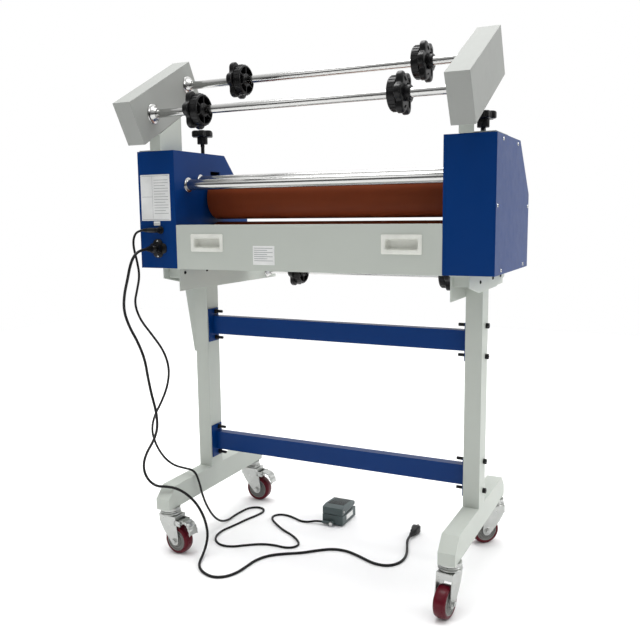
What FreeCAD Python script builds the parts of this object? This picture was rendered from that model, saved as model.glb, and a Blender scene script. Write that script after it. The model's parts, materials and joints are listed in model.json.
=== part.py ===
import FreeCAD, Part
import math
import os
import re
import Sketcher
from FreeCAD import Placement, Rotation, Vector

# A free-standing cold roll laminator. X runs along the rollers, Y from the side with the
# sockets (-Y) to the operator's side (+Y), Z up from the floor. The origin is on the floor at the
# middle of the machine's length and width. Unless a comment says otherwise, Y sizes are measured
# from the plane of the rollers, which stands roller_plane from the origin.

doc = FreeCAD.newDocument("ColdRollLaminator")

SIZES = {
    # the whole machine
    "roller_plane": -22.4,
    "gap_half": 350,
    "housing_width": 114,
    "housing_base": 756,
    "housing_top": 1054,
    "housing_near": -185,
    "housing_far": 163,
    "slope_top": 48,
    "slope_foot": 933,
    "sheet": 1.5,
    "frame_plate": 6,
    "cover_plate": 2,
    # stand
    "foot_low": 122,
    "foot_height": 60,
    "foot_half": 240.5,
    "foot_chamfer": 31,
    "tube_width": 40,
    "tube_wall": 2.5,
    "post_near": -38,
    "post_depth": 55,
    "bracket_plate": 3,
    "web_near": -160,
    "web_far": 347.6,
    "web_low": 695,
    "flange_half": 170,
    "flange_bend": 85,
    "flange_low": 710,
    "flange_tip": 728,
    "gusset_low": 512,
    "gusset_top_width": 40,
    "gusset_low_width": 12,
    "bar_height": 50,
    "bar_depth": 25,
    "bar_near": -15.5,
    "upper_bar": 587,
    "lower_bar": 254,
    "bar_flange_height": 92,
    "bar_flange_depth": 47,
    "bar_flange_near": -34,
    "bolt_spacing": 74,
    "bolt_depth": -2,
    "bolt_radius": 4,
    "bolt_gap": 0.5,
    "bolt_head": 6.5,
    "bolt_head_height": 8,
    "hex_socket": 3,
    "hex_depth": 4,
    "bolt_length": 66,
    "bolt_start": 26,
    "nut_height": 6,
    "bar_wall": 2,
    "leg_gap": 14,
    "web_lip": 20,
    "end_plate_inset": 24,
    "gusset_gap": 8,
    "gusset_near": 12,
    # casters
    "caster_span": 208,
    "wheel_radius": 37.5,
    "wheel_width": 30,
    "caster_trail": 28,
    "fork_gap": 35,
    "fork_plate": 2.5,
    "axle_radius": 4,
    "axle_nut": 7,
    "axle_nut_height": 5,
    "stem_radius": 6,
    "stem_length": 30,
    "head_ring": 26,
    "head_ring_height": 7,
    "head_pivot": 10,
    "head_pivot_height": 5,
    "head_radius": 24,
    "head_height": 9.9,
    "head_low": 17.5,
    "yoke_low": 20,
    "yoke_length": 54,
    "hub_radius": 10,
    "dish_outer": 26,
    "dish_inner": 14,
    "dish_depth": 3,
    "brake_pin_x": 44,
    "brake_pin_low": 36,
    "brake_pin": 2.5,
    "brake_hub": 6,
    "brake_slack": 2,
    "ear_near": 28,
    "ear_low": 42,
    "ear_length": 20,
    "ear_height": 14,
    # rollers
    "nip_low": 818,
    "nip_high": 935,
    "roller_radius": 55,
    "core_radius": 47,
    "core_wall": 7,
    "core_half": 344,
    "journal": 10,
    "running_gap": 0.05,
    "gear_teeth": 40,
    "pinion_teeth": 16,
    "tooth_module": 2.5,
    "gear_width": 12,
    "mesh_angle": 30,
    "slot_half": 22,
    "slot_low": 896,
    "slot_high": 1008,
    "block_half": 21.5,
    "block_height": 50,
    "screw_reach": 38,
    "screw_radius": 5,
    "knob_top": 1120,
    "knob_radius": 30,
    "front_guide_y": -125,
    "front_guide_z": 969,
    "front_guide": 14,
    "rear_guide_y": -70,
    "rear_guide_z": 983,
    "rear_guide": 11,
    "guide_journal": 6,
    "guide_gap": 3.6,
    "guide_journal_reach": 9,
    "end_disc": 12,
    "sleeve_inset": 1,
    "drive_reach": 44,
    "plain_reach": 14,
    "upper_reach": 22,
    "gear_gap": 32,
    "motor_shaft": 5,
    "motor_shaft_length": 34,
    "motor_shaft_start": 22,
    "motor_plate_gap": 42,
    "motor_plate": 64,
    "motor_plate_thick": 4,
    "motor_post": 4,
    "motor_post_spread": 26,
    "motor_post_length": 38,
    "gearbox_radius": 26,
    "gearbox_length": 22,
    "motor_can": 30,
    "motor_can_length": 42,
    "motor_bore": 18,
    "ledge_reach": 12,
    "ledge_width": 48,
    "ledge_low": 14,
    "ledge_height": 8,
    "roller_bush_wall": 7,
    "guide_bush_wall": 4,
    "carrier_width": 56,
    "block_gap": 0.5,
    "carrier_gap": 0.4,
    "block_bore": 24,
    "screw_seat": 5,
    "screw_well": 6,
    "well_depth": 40,
    "knob_hub": 14,
    "knob_hub_low": 37,
    "knob_hub_height": 20,
    "knob_height": 18,
    "knob_dip": 6,
    # film shafts
    "film_shaft": 10,
    "front_shaft_y": -213.7,
    "front_shaft_z": 1140.7,
    "rear_shaft_y": -62.3,
    "rear_shaft_z": 1229.9,
    "lower_shaft_y": 296,
    "lower_shaft_z": 718,
    "chuck_radius": 38,
    "chuck_depth": 18,
    "chuck_rim": 4,
    "chuck_floor": 2.5,
    "spoke_width": 14,
    "spoke_thickness": 3,
    "grip_radius": 47,
    "grip_dip": 9,
    "grip_height": 14,
    "grip_offset": 2,
    "chuck_hub": 17,
    "hub_inward": 19,
    "hub_outward": 27,
    "box_shaft_reach": 26,
    "lower_shaft_reach": 20,
    "box_bush": 15,
    "lower_bush": 13,
    "bush_flange": 3,
    "bush_nose": 13,
    "bush_nose_wall": 5,
    "bush_bore": 30,
    "box_flange": 24,
    "lower_flange": 20,
    "roller_flange": 22,
    "front_guide_flange": 19,
    "rear_guide_flange": 15,
    "arm_foot_length": 76,
    "arm_foot_depth": 112,
    "arm_foot_near": -180,
    "arm_lip_length": 32,
    "arm_lip_height": 41,
    "arm_web_near": -192,
    "arm_web_far": -100,
    "arm_web_near_top": 1094,
    "arm_web_far_top": 1145,
    "box_inner": 384.4,
    "box_width": 52,
    "box_length": 281,
    "box_height": 109,
    "box_angle": 28.5,
    "box_near_y": -302.8,
    "box_near_z": 1159.1,
    # panels
    "panel_low": 755,
    "panel_high": 867,
    "handle_x": 257,
    "handle_z": 822,
    "handle_width": 96,
    "handle_height": 44,
    "board_z": 862,
    "panel_fold": 26,
    "bezel": 3,
    "bezel_side": 8,
    "bezel_end": 6,
    "cup_depth": 18,
    "cup_wall": 2,
    "board_near": 64,
    "board_depth": 126,
    "board_sheet": 2,
    "board_gap": 0.5,
    "tongue_height": 12,
    "apron_rise": 4,
    "cover_screw": 4,
    "cover_screw_head": 2,
    "cover_screw_shank": 2,
    "cover_screw_length": 8,
    "screw_hole": 8,
    # sockets, leads and foot switch
    "inlet_x": -408,
    "inlet_z": 807,
    "socket_x": -398,
    "socket_z": 854,
    "inlet_width": 30,
    "inlet_height": 48,
    "wing_width": 54,
    "wing_height": 26,
    "inlet_flange": 3,
    "inlet_hole": 14,
    "inlet_shell": 13.8,
    "inlet_depth": 24,
    "collar_radius": 10,
    "collar_height": 4,
    "socket_hole": 8,
    "socket_barrel": 7.8,
    "socket_depth": 14,
    "power_cord_dia": 7,
    "pedal_cord_dia": 6,
    "plug_width": 28,
    "plug_height": 22,
    "plug_length": 28,
    "plug_guard": 16,
    "plug_guard_thin": 4.5,
    "plug_guard_thick": 9,
    "elbow_radius": 7,
    "elbow_length": 18,
    "elbow_barrel": 6.5,
    "elbow_barrel_length": 30,
    "elbow_guard_length": 14,
    "elbow_guard_thin": 4,
    "elbow_guard_thick": 6,
    "panel_plate_width": 88,
    "panel_plate_length": 126,
    "panel_plate_thick": 2,
    "window_x": 18,
    "window_y": 14,
    "window_width": 52,
    "window_height": 24,
    "dial_x": 44,
    "dial_y": 90,
    "dial_stem": 3,
    "dial_radius": 13,
    "dial_height": 14,
    "dial_lift": 2.3,
    "pedal_x": -58,
    "pedal_near": 116,
    "pedal_width": 64,
    "pedal_length": 92,
    "pedal_base_height": 30,
    "pedal_height": 56,
}

sheet = doc.addObject("Spreadsheet::Sheet", "Sizes")
for row, (alias, number) in enumerate(SIZES.items(), start=1):
    sheet.set("A%d" % row, alias.replace("_", " "))
    sheet.set("B%d" % row, str(number))
    sheet.setAlias("B%d" % row, alias)
doc.recompute()

NODES = []


def bind(target, prop, text):
    """Tie a property to a formula of the sheet's cells."""
    formula = re.sub(r"[a-z][a-z_]+", lambda word: "Sizes." + word.group(0), str(text))
    target.setExpression(prop, formula)


def place(target, x, y, z, datum="roller_plane"):
    bind(target, "Placement.Base.x", x)
    bind(target, "Placement.Base.y", "%s + %s" % (datum, y))
    bind(target, "Placement.Base.z", z)
    return target


def block(x, y, z, length, width, height, datum="roller_plane"):
    """A box from its lowest corner."""
    box = doc.addObject("Part::Box", "Block")
    bind(box, "Length", length)
    bind(box, "Width", width)
    bind(box, "Height", height)
    return place(box, x, y, z, datum)


TURNS = {
    "x": Rotation(Vector(0, 1, 0), 90),
    "y": Rotation(Vector(1, 0, 0), -90),
    "z": Rotation(),
}


def rod(axis, x, y, z, radius, length, datum="roller_plane"):
    """A cylinder that runs from its starting point along +X, +Y or +Z."""
    cylinder = doc.addObject("Part::Cylinder", "Rod")
    bind(cylinder, "Radius", radius)
    bind(cylinder, "Height", length)
    cylinder.Placement = Placement(Vector(), TURNS[axis])
    return place(cylinder, x, y, z, datum)


def taper(axis, x, y, z, first, second, length, datum="roller_plane"):
    """A cone from its first radius to its second."""
    cone = doc.addObject("Part::Cone", "Taper")
    bind(cone, "Radius1", first)
    bind(cone, "Radius2", second)
    bind(cone, "Height", length)
    cone.Placement = Placement(Vector(), TURNS[axis])
    return place(cone, x, y, z, datum)


def profile(plane, outline, depth, x=0, y=0, z=0, datum="roller_plane"):
    """A body padded from a closed outline on one of its own origin planes."""
    body = doc.addObject("PartDesign::Body", "Profile")
    sketch = body.newObject("Sketcher::SketchObject", "Outline")
    support = [item for item in body.Origin.OriginFeatures if item.Role == plane][0]
    sketch.AttachmentSupport = [(support, "")]
    sketch.MapMode = "FlatFace"
    corners = [(value(a), value(b)) for a, b in outline]
    count = len(corners)
    for index in range(count):
        first = Vector(*corners[index], 0)
        second = Vector(*corners[(index + 1) % count], 0)
        sketch.addGeometry(Part.LineSegment(first, second), False)
    for index in range(count):
        sketch.addConstraint(Sketcher.Constraint("Coincident", index, 2, (index + 1) % count, 1))
    for index, formulas in enumerate(outline):
        for kind, formula in zip(("DistanceX", "DistanceY"), formulas):
            limit = Sketcher.Constraint(kind, -1, 1, index, 1, value(formula))
            bind(sketch, "Constraints[%d]" % sketch.addConstraint(limit), formula)
    pad = body.newObject("PartDesign::Pad", "Pad")
    pad.Profile = sketch
    bind(pad, "Length", depth)
    return place(body, x, y, z, datum)


def value(formula):
    """The number that a formula of the sheet's cells gives."""
    return float(sheet.evalExpression(str(formula)))


def cut(base, *tools):
    result = doc.addObject("Part::Cut", "Cut")
    result.Base = base
    result.Tool = fuse(*tools) if len(tools) > 1 else tools[0]
    return result


def fuse(*pieces):
    result = doc.addObject("Part::MultiFuse", "Fuse")
    result.Shapes = list(pieces)
    return result


def group(*pieces):
    """Separate solids that share one node."""
    result = doc.addObject("Part::Compound", "Group")
    result.Links = list(pieces)
    return result


def made(shape, x=0, y=0, z=0, datum="roller_plane"):
    """A shape made with Part's own functions."""
    feature = doc.addObject("Part::Feature", "Made")
    feature.Shape = shape
    return place(feature, x, y, z, datum)


def node(label, piece):
    piece.Label = label
    NODES.append(piece)
    return piece


def slab_x(side, inner, depth):
    """The lower X of a slab that starts inner from the middle on one side."""
    return inner if side > 0 else "-1*(%s) - (%s)" % (inner, depth)


SIDES = {"left": -1, "right": 1}


# ---------------------------------------------------------------- stand

def foot_outline(inset):
    """A foot beam seen from its side: a rectangle with its two top corners cut off."""
    top = "foot_low + foot_height - %s" % inset
    low = "foot_low + %s" % inset
    end = "foot_half - %s" % inset
    cheek = "foot_low + foot_height - foot_chamfer - %s*0.4" % inset
    shoulder = "foot_half - foot_chamfer - %s*0.4" % inset
    minus_end = "-1*foot_half + %s" % inset
    minus_shoulder = "-1*foot_half + foot_chamfer + %s*0.4" % inset
    return [(minus_end, low), (end, low), (end, cheek), (shoulder, top),
            (minus_shoulder, top), (minus_end, cheek)]


def leg(side):
    """A hollow foot beam and a hollow post on it, drilled for the crossbars' screws."""
    inner = "gap_half + leg_gap"
    x = slab_x(side, inner, "tube_width")
    foot = profile("YZ_Plane", foot_outline("0"), "tube_width", x)
    foot_hollow = profile("YZ_Plane", foot_outline("tube_wall"), "tube_width - 2*tube_wall",
                          x + " + tube_wall")
    rise = "housing_base - bracket_plate - foot_low - foot_height"
    post = block(x, "post_near", "foot_low + foot_height", "tube_width", "post_depth", rise)
    post_hollow = block(x + " + tube_wall", "post_near + tube_wall", "foot_low + foot_height",
                        "tube_width - 2*tube_wall", "post_depth - 2*tube_wall", rise)
    drills = []
    for bar in ("upper_bar", "lower_bar"):
        for half in ("+ bolt_spacing/2", "- bolt_spacing/2"):
            drills.append(rod("x", x, "bolt_depth", bar + half, "bolt_radius + bolt_gap", "tube_width"))
    stems = []
    for way in ("-1*caster_span", "caster_span"):
        stems.append(rod("z", middle_x(side), way, "foot_low - 1", "stem_radius", "stem_length"))
    return cut(fuse(cut(foot, foot_hollow), cut(post, post_hollow)), *(drills + stems))


def middle_x(side):
    """The middle plane of a leg's tubes."""
    return "gap_half + leg_gap + tube_width/2" if side > 0 else "-1*gap_half - leg_gap - tube_width/2"


def leg_bracket(side):
    """The channel on a leg: a long inner web, a plate under the housing and a tapered flange."""
    inner = "gap_half + leg_gap - bracket_plate"
    web = block(slab_x(side, inner, "bracket_plate"), "web_near", "web_low", "bracket_plate",
                "web_far - web_near", "housing_base - web_low")
    width = "tube_width + 2*bracket_plate"
    top = block(slab_x(side, inner, width), "-1*flange_half", "housing_base - bracket_plate",
                width, "2*flange_half", "bracket_plate")
    lip = block(slab_x(side, inner, "web_lip"), "flange_half", "housing_base - bracket_plate", "web_lip",
                "web_far - flange_half", "bracket_plate")
    outline = [("-1*flange_half", "housing_base"), ("-1*flange_half", "flange_tip"),
               ("-1*flange_bend", "flange_low"), ("flange_bend", "flange_low"),
               ("flange_half", "flange_tip"), ("flange_half", "housing_base")]
    flange = profile("YZ_Plane", outline, "bracket_plate",
                     slab_x(side, "gap_half + leg_gap + tube_width", "bracket_plate"))
    end = block(slab_x(side, "gap_half + leg_gap", "tube_width"), "-1*flange_half + end_plate_inset",
                "flange_tip",
                "tube_width", "bracket_plate", "housing_base - flange_tip")
    x = slab_x(side, inner, "bracket_plate")
    drills = [rod("x", x, "lower_shaft_y", "lower_shaft_z", "lower_bush", "bracket_plate")]
    return cut(fuse(web, top, lip, flange, end), *drills)


def gusset():
    """The tapered folded strut outside the left post."""
    top = "-1*gusset_top_width"
    high = "web_low + gusset_gap"
    outline = [("0", high), (top, high), ("-1*gusset_low_width", "gusset_low"), ("0", "gusset_low")]
    return profile("XZ_Plane", outline, "bracket_plate", "-1*gap_half - leg_gap - tube_width",
                   "post_near + gusset_near")


for name, side in SIDES.items():
    tubes = leg(side)
    node(name + "_leg", fuse(tubes, gusset()) if side < 0 else tubes)
    node(name + "_leg_bracket", leg_bracket(side))


def crossbar(height):
    """A hollow bar with a flange at each end, drilled for its screws."""
    inner = "gap_half + leg_gap"
    flange = "bracket_plate"
    half = inner + " - " + flange
    low = height + " - bar_height/2"
    left = "-1*gap_half - leg_gap + bracket_plate"
    length = "2*gap_half + 2*leg_gap - 2*bracket_plate"
    bar = block(left, "bar_near", low, length, "bar_depth", "bar_height")
    hollow = block(left, "bar_near + bar_wall", low + " + bar_wall", length, "bar_depth - 2*bar_wall",
                   "bar_height - 2*bar_wall")
    flanges = []
    drills = []
    for side in SIDES.values():
        x = slab_x(side, half, flange)
        flanges.append(block(x, "bar_flange_near", height + " - bar_flange_height/2", flange,
                             "bar_flange_depth", "bar_flange_height"))
        for way in (" + bolt_spacing/2", " - bolt_spacing/2"):
            drills.append(rod("x", x, "bolt_depth", height + way, "bolt_radius + bolt_gap", flange))
    return cut(fuse(cut(bar, hollow), *flanges), *drills)


node("upper_crossbar", crossbar("upper_bar"))
node("lower_crossbar", crossbar("lower_bar"))


def stand_screw(side, height):
    """A socket-head screw through the post and the crossbar's flange, with a nut inside."""
    inner = "gap_half + leg_gap"
    outer = inner + " + tube_width"
    rise = "bolt_head_height"
    head = rod("x", slab_x(side, outer, rise), "bolt_depth", height, "bolt_head", rise)
    deep = outer + " + bolt_head_height - hex_depth"
    socket = rod("x", slab_x(side, deep, "hex_depth"), "bolt_depth", height, "hex_socket", "hex_depth")
    shank = rod("x", slab_x(side, inner + " - bolt_start", "bolt_length"), "bolt_depth", height,
                "bolt_radius", "bolt_length")
    nut = rod("x", slab_x(side, inner + " - bracket_plate - nut_height", "nut_height"), "bolt_depth",
              height, "bolt_head", "nut_height")
    return cut(fuse(head, shank, nut), socket)


screws = []
for side in SIDES.values():
    for bar in ("upper_bar", "lower_bar"):
        for way in (" + bolt_spacing/2", " - bolt_spacing/2"):
            screws.append(stand_screw(side, bar + way))
node("stand_screws", group(*screws))


# ---------------------------------------------------------------- casters

def caster_corners():
    """Name, side, Y sign and heading of each caster: the way its wheel trails, from +X."""
    return [("left_front", -1, -1, -6), ("left_rear", -1, 1, 2),
            ("right_front", 1, -1, -97), ("right_rear", 1, 1, 222)]


def caster_stem(side, way):
    """The stem in the foot beam and the fixed ring of the swivel head."""
    x = middle_x(side)
    y = "%d*caster_span" % way
    low = "foot_low - head_ring_height"
    stem = rod("z", x, y, "foot_low - 1", "stem_radius", "stem_length - 1")
    ring = rod("z", x, y, low, "head_ring", "head_ring_height")
    recess = rod("z", x, y, low, "head_pivot + running_gap", "head_pivot_height")
    return cut(fuse(ring, stem), recess)


node("caster_stems", group(*[caster_stem(side, way) for _, side, way, _ in caster_corners()]))


def turned(piece, side, way, heading):
    """Set a caster piece, made about its own swivel axis, in its corner at its heading."""
    piece.Placement = Placement(Vector(), Rotation(Vector(0, 0, 1), heading))
    return place(piece, middle_x(side), "%d*caster_span" % way, 0)


def fork_side(start):
    """One cheek of a fork: wide under the head, narrow at the axle."""
    outline = [("-24", "foot_low - 20"), ("-20", "foot_low - 40"),
               ("caster_trail - 11", "wheel_radius - 6"), ("caster_trail - 6", "wheel_radius - 12"),
               ("caster_trail + 6", "wheel_radius - 12"), ("caster_trail + 11", "wheel_radius - 6"),
               ("caster_trail + 12", "wheel_radius + 22"), ("34", "foot_low - 36"),
               ("30", "foot_low - 20")]
    return profile("XZ_Plane", outline, "fork_plate", 0, start, 0, datum="0")


def caster_fork(braked):
    """Swivel head, yoke, axle bolt and its nuts, about the swivel axis with the wheel at +X."""
    near = "fork_gap/2 + fork_plate"
    head = rod("z", 0, 0, "foot_low - head_low", "head_radius", "head_height", datum="0")
    boss = rod("z", 0, 0, "foot_low - head_low + head_height", "head_pivot", "head_pivot_height",
               datum="0")
    roof = block("-1*head_radius", "-1*fork_gap/2 - fork_plate", "foot_low - yoke_low", "yoke_length",
                 "fork_gap + 2*fork_plate", "fork_plate", datum="0")
    cheeks = [fork_side(near), fork_side("-1*fork_gap/2")]
    end = "-1*fork_gap/2 - fork_plate - axle_nut_height"
    axle = rod("y", "caster_trail", end, "wheel_radius", "axle_radius",
               "fork_gap + 2*fork_plate + 2*axle_nut_height", datum="0")
    nuts = [rod("y", "caster_trail", start, "wheel_radius", "axle_nut", "axle_nut_height", datum="0")
            for start in (end, near)]
    pieces = [head, boss, roof, axle] + cheeks + nuts
    if braked:
        pieces.append(rod("y", "brake_pin_x", "-1*fork_gap/2 - fork_plate", "foot_low - brake_pin_low",
                          "brake_pin", "fork_gap + 2*fork_plate", datum="0"))
        for start in ("-1*fork_gap/2 - fork_plate", "fork_gap/2"):
            pieces.append(block("ear_near", start, "foot_low - ear_low", "ear_length", "fork_plate",
                                "ear_height", datum="0"))
    return fuse(*pieces)


def caster_wheel():
    """Tread and hub with a bored hole that runs on the axle."""
    start = "-1*wheel_width/2"
    tread = rod("y", "caster_trail", start, "wheel_radius", "wheel_radius", "wheel_width", datum="0")
    hub = rod("y", "caster_trail", "-1*fork_gap/2 + 1", "wheel_radius", "hub_radius",
              "fork_gap - 2", datum="0")
    bore = rod("y", "caster_trail", "-1*fork_gap/2 + 1", "wheel_radius", "axle_radius + running_gap",
               "fork_gap - 2", datum="0")
    dishes = []
    for offset in ("-1*wheel_width/2", "wheel_width/2 - dish_depth"):
        dish = rod("y", "caster_trail", offset, "wheel_radius", "dish_outer", "dish_depth", datum="0")
        keep = rod("y", "caster_trail", offset, "wheel_radius", "dish_inner", "dish_depth", datum="0")
        dishes.append(cut(dish, keep))
    return cut(fuse(cut(tread, *dishes), hub), bore)


def caster_brake():
    """The foot lever on its pin behind the fork."""
    outline = [("38", "foot_low - 30"), ("52", "foot_low - 27"), ("74", "foot_low - 38"),
               ("80", "foot_low - 62"), ("75", "foot_low - 63"), ("69", "foot_low - 43"),
               ("50", "foot_low - 33"), ("38", "foot_low - 34")]
    width = "fork_gap - 2*brake_slack"
    start = "-1*fork_gap/2 + brake_slack"
    height = "foot_low - brake_pin_low"
    lever = profile("XZ_Plane", outline, width, 0, "fork_gap/2 - brake_slack", 0, datum="0")
    hub = rod("y", "brake_pin_x", start, height, "brake_hub", width, datum="0")
    bore = rod("y", "brake_pin_x", start, height, "brake_pin + running_gap", width, datum="0")
    return cut(fuse(lever, hub), bore)


for name, side, way, heading in caster_corners():
    braked = side < 0
    node(name + "_caster_fork", turned(caster_fork(braked), side, way, heading))
    node(name + "_caster_wheel", turned(caster_wheel(), side, way, heading))
    if braked:
        node(name + "_caster_brake", turned(caster_brake(), side, way, heading))


# ---------------------------------------------------------------- housings

def housing_outline():
    """A housing seen from its end: upright at the socket side, sloped at the operator's."""
    return [("housing_near", "housing_base"), ("housing_far", "housing_base"),
            ("housing_far", "slope_foot"), ("slope_top", "housing_top"),
            ("housing_near", "housing_top")]


def side_frame(side):
    """The structural plate, with its guide slot, shaft holes and the plate that the screw runs in."""
    x = slab_x(side, "gap_half", "frame_plate")
    plate = profile("YZ_Plane", housing_outline(), "frame_plate", x)
    reach = "screw_reach + ledge_reach - frame_plate"
    ledge_x = slab_x(side, "gap_half + frame_plate", reach)
    ledge = block(ledge_x, "-1*ledge_width/2", "housing_top - ledge_low", reach, "ledge_width",
                  "ledge_height")
    slot = block(x, "-1*slot_half", "slot_low", "frame_plate", "2*slot_half", "slot_high - slot_low")
    holes = [rod("x", x, 0, "nip_low", "journal + roller_bush_wall", "frame_plate"),
             rod("x", x, "front_guide_y", "front_guide_z", "guide_journal + guide_bush_wall", "frame_plate"),
             rod("x", x, "rear_guide_y", "rear_guide_z", "guide_journal + guide_bush_wall", "frame_plate"),
             rod("z", screw_x(side), 0, "housing_top - ledge_low", "screw_radius + running_gap",
                 "ledge_height")]
    return cut(fuse(plate, ledge), slot, *holes)


def screw_x(side):
    return "gap_half + screw_reach" if side > 0 else "-1*gap_half - screw_reach"


def housing_shell(side):
    """Sheet folded round the works: four walls and the slope, open at both ends."""
    depth = "housing_width - frame_plate - cover_plate"
    start = slab_x(side, "gap_half + frame_plate", depth)
    body = profile("YZ_Plane", housing_outline(), depth, start)
    doc.recompute()
    skin = body.newObject("PartDesign::Thickness", "Skin")
    pad = body.Group[1]
    faces = pad.Shape.Faces
    ends = ["Face%d" % (index + 1) for index, face in enumerate(faces)
            if abs(face.normalAt(0, 0).x) > 0.9]
    skin.Base = (pad, ends)
    skin.Mode = "Skin"
    skin.Join = "Intersection"
    skin.Reversed = True
    bind(skin, "Value", "sheet")
    body.Tip = skin
    hole = rod("z", screw_x(side), 0, "housing_top - 4", "screw_hole", 8)
    tools = [hole]
    if side < 0:
        tools.append(rod("y", "inlet_x", "housing_near - 1", "inlet_z", "inlet_hole", 4))
        tools.append(rod("y", "socket_x", "housing_near - 1", "socket_z", "socket_hole", 4))
    return cut(body, *tools)


def cover_screw_spots():
    """Y and Z of the screws that hold an end cover."""
    return [("-128", "housing_top - 10"), ("20", "housing_top - 10"), ("-172", "904"),
            ("150", "904"), ("-128", "housing_base + 9"), ("108", "housing_base + 9")]


def end_cover(side):
    x = slab_x(side, "gap_half + housing_width - cover_plate", "cover_plate")
    holes = [rod("x", x, y, z, "cover_screw_shank", "cover_plate") for y, z in cover_screw_spots()]
    return cut(profile("YZ_Plane", housing_outline(), "cover_plate", x), *holes)


def cover_screw(side, y, z):
    face = "gap_half + housing_width"
    head = rod("x", slab_x(side, face, "cover_screw_head"), y, z, "cover_screw", "cover_screw_head")
    length = "cover_screw_length"
    shank = rod("x", slab_x(side, face + " - " + length, length), y, z, "cover_screw_shank", length)
    return fuse(head, shank)


node("side_frames", group(*[side_frame(side) for side in SIDES.values()]))
for name, side in SIDES.items():
    node(name + "_housing_shell", housing_shell(side))
node("end_covers", group(*[end_cover(side) for side in SIDES.values()]))
node("cover_screws", group(*[cover_screw(side, y, z) for side in SIDES.values()
                             for y, z in cover_screw_spots()]))


# ---------------------------------------------------------------- panels between the housings

def handle_x(side):
    return "handle_x" if side > 0 else "-1*handle_x"


def rear_panel():
    """A folded panel flush with the housings, cut out for its two handles."""
    full = "2*gap_half"
    face = block("-1*gap_half", "housing_near", "panel_low", full, "sheet", "panel_high - panel_low")
    top = block("-1*gap_half", "housing_near", "panel_high - sheet", full, "panel_fold", "sheet")
    low = block("-1*gap_half", "housing_near", "panel_low", full, "panel_fold", "sheet")
    holes = [block(handle_x(side) + " - handle_width/2 + bezel_side", "housing_near",
                   "handle_z - handle_height/2 + bezel_end", "handle_width - 2*bezel_side", "sheet",
                   "handle_height - 2*bezel_end") for side in SIDES.values()]
    return cut(fuse(face, top, low), *holes)


def panel_handle(side):
    """A recessed pull: a bezel on the panel and a cup behind it."""
    x = handle_x(side)
    left = x + " - handle_width/2"
    low = "handle_z - handle_height/2"
    bezel = block(left, "housing_near - bezel", low, "handle_width", "bezel", "handle_height")
    cup = block(left + " + bezel_side", "housing_near", low + " + bezel_end",
                "handle_width - 2*bezel_side", "cup_depth", "handle_height - 2*bezel_end")
    hollow = block(left + " + bezel_side + cup_wall", "housing_near - bezel",
                   low + " + bezel_end + cup_wall", "handle_width - 2*bezel_side - 2*cup_wall",
                   "bezel + cup_depth - cup_wall", "handle_height - 2*bezel_end - 2*cup_wall")
    return cut(fuse(bezel, cup), hollow)


node("rear_panel", rear_panel())
node("panel_handles", group(*[panel_handle(side) for side in SIDES.values()]))


def feed_board():
    """The operator's deck, level with the nip, with an apron folded down in front of it."""
    length = "2*gap_half - 2*board_gap"
    left = "-1*gap_half + board_gap"
    thick = "board_sheet"
    deck = block(left, "board_near", "board_z - board_sheet", length, "board_depth", thick)
    apron = block(left, "board_near + board_depth - board_sheet", "housing_base + apron_rise", length,
                  thick, "board_z - housing_base - apron_rise")
    tongue = block(left, "board_near", "board_z - tongue_height", length, thick, "tongue_height")
    return fuse(deck, apron, tongue)


node("feed_board", feed_board())


# ---------------------------------------------------------------- film shaft boxes

def arm_box(side):
    """A closed sheet box, tilted up towards the operator, with a hole for each film shaft."""
    outer = doc.addObject("Part::Box", "Block")
    bind(outer, "Length", "box_width")
    bind(outer, "Width", "box_length")
    bind(outer, "Height", "box_height")
    inner = block("sheet", "sheet", "sheet", "box_width - 2*sheet", "box_length - 2*sheet",
                  "box_height - 2*sheet", datum="0")
    box = cut(outer, inner)
    tilt = math.radians(value("box_angle"))
    box.Placement = Placement(Vector(), Rotation(Vector(1, 0, 0), value("box_angle")))
    place(box, slab_x(side, "box_inner", "box_width"), "box_near_y + box_height*%.6f" % math.sin(tilt),
          "box_near_z - box_height*%.6f" % math.cos(tilt))
    x = slab_x(side, "box_inner", "sheet")
    holes = [rod("x", x, y, z, "box_bush", "sheet") for y, z in film_shaft_axes()[:2]]
    return cut(box, *holes)


def film_shaft_axes():
    """Y and Z of the front, rear and lower film shafts."""
    return [("front_shaft_y", "front_shaft_z"), ("rear_shaft_y", "rear_shaft_z"),
            ("lower_shaft_y", "lower_shaft_z")]


def arm_bracket(side):
    """A foot on the housing's top and a web that rises under the box."""
    outline = [("arm_web_near", "housing_top"), ("arm_web_far", "housing_top"),
               ("arm_web_far", "arm_web_far_top"), ("arm_web_near", "arm_web_near_top")]
    web = profile("YZ_Plane", outline, "bracket_plate", slab_x(side, "box_inner", "bracket_plate"))
    foot = block(slab_x(side, "box_inner", "arm_foot_length"), "arm_foot_near", "housing_top",
                 "arm_foot_length", "arm_foot_depth", "bracket_plate")
    lip = block(slab_x(side, "box_inner", "arm_lip_length"), "arm_web_near", "housing_top",
                "arm_lip_length", "bracket_plate", "arm_lip_height")
    return fuse(web, foot, lip)


node("arm_boxes", group(*[arm_box(side) for side in SIDES.values()]))
node("arm_brackets", group(*[arm_bracket(side) for side in SIDES.values()]))


def flanged_bush(side, face, y, z, bore, sleeve, flange, nose):
    """A bush in a wall whose inner face stands face from the middle: flange and nose inwards."""
    neck = "sheet" if face == "box_inner" else "frame_plate"
    if "leg_gap" in face:
        neck = "bracket_plate"
    body = [rod("x", slab_x(side, face, neck), y, z, sleeve, neck),
            rod("x", slab_x(side, face + " - bush_flange", "bush_flange"), y, z, flange, "bush_flange")]
    if nose:
        length = "(bush_nose - bush_flange)"
        body.append(rod("x", slab_x(side, face + " - bush_nose", length), y, z,
                        bore + " + bush_nose_wall", length))
    hole = rod("x", slab_x(side, face + " - bush_nose - 1", "bush_bore"), y, z,
               bore + " + running_gap", "bush_bore")
    return cut(fuse(*body), hole)


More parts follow.
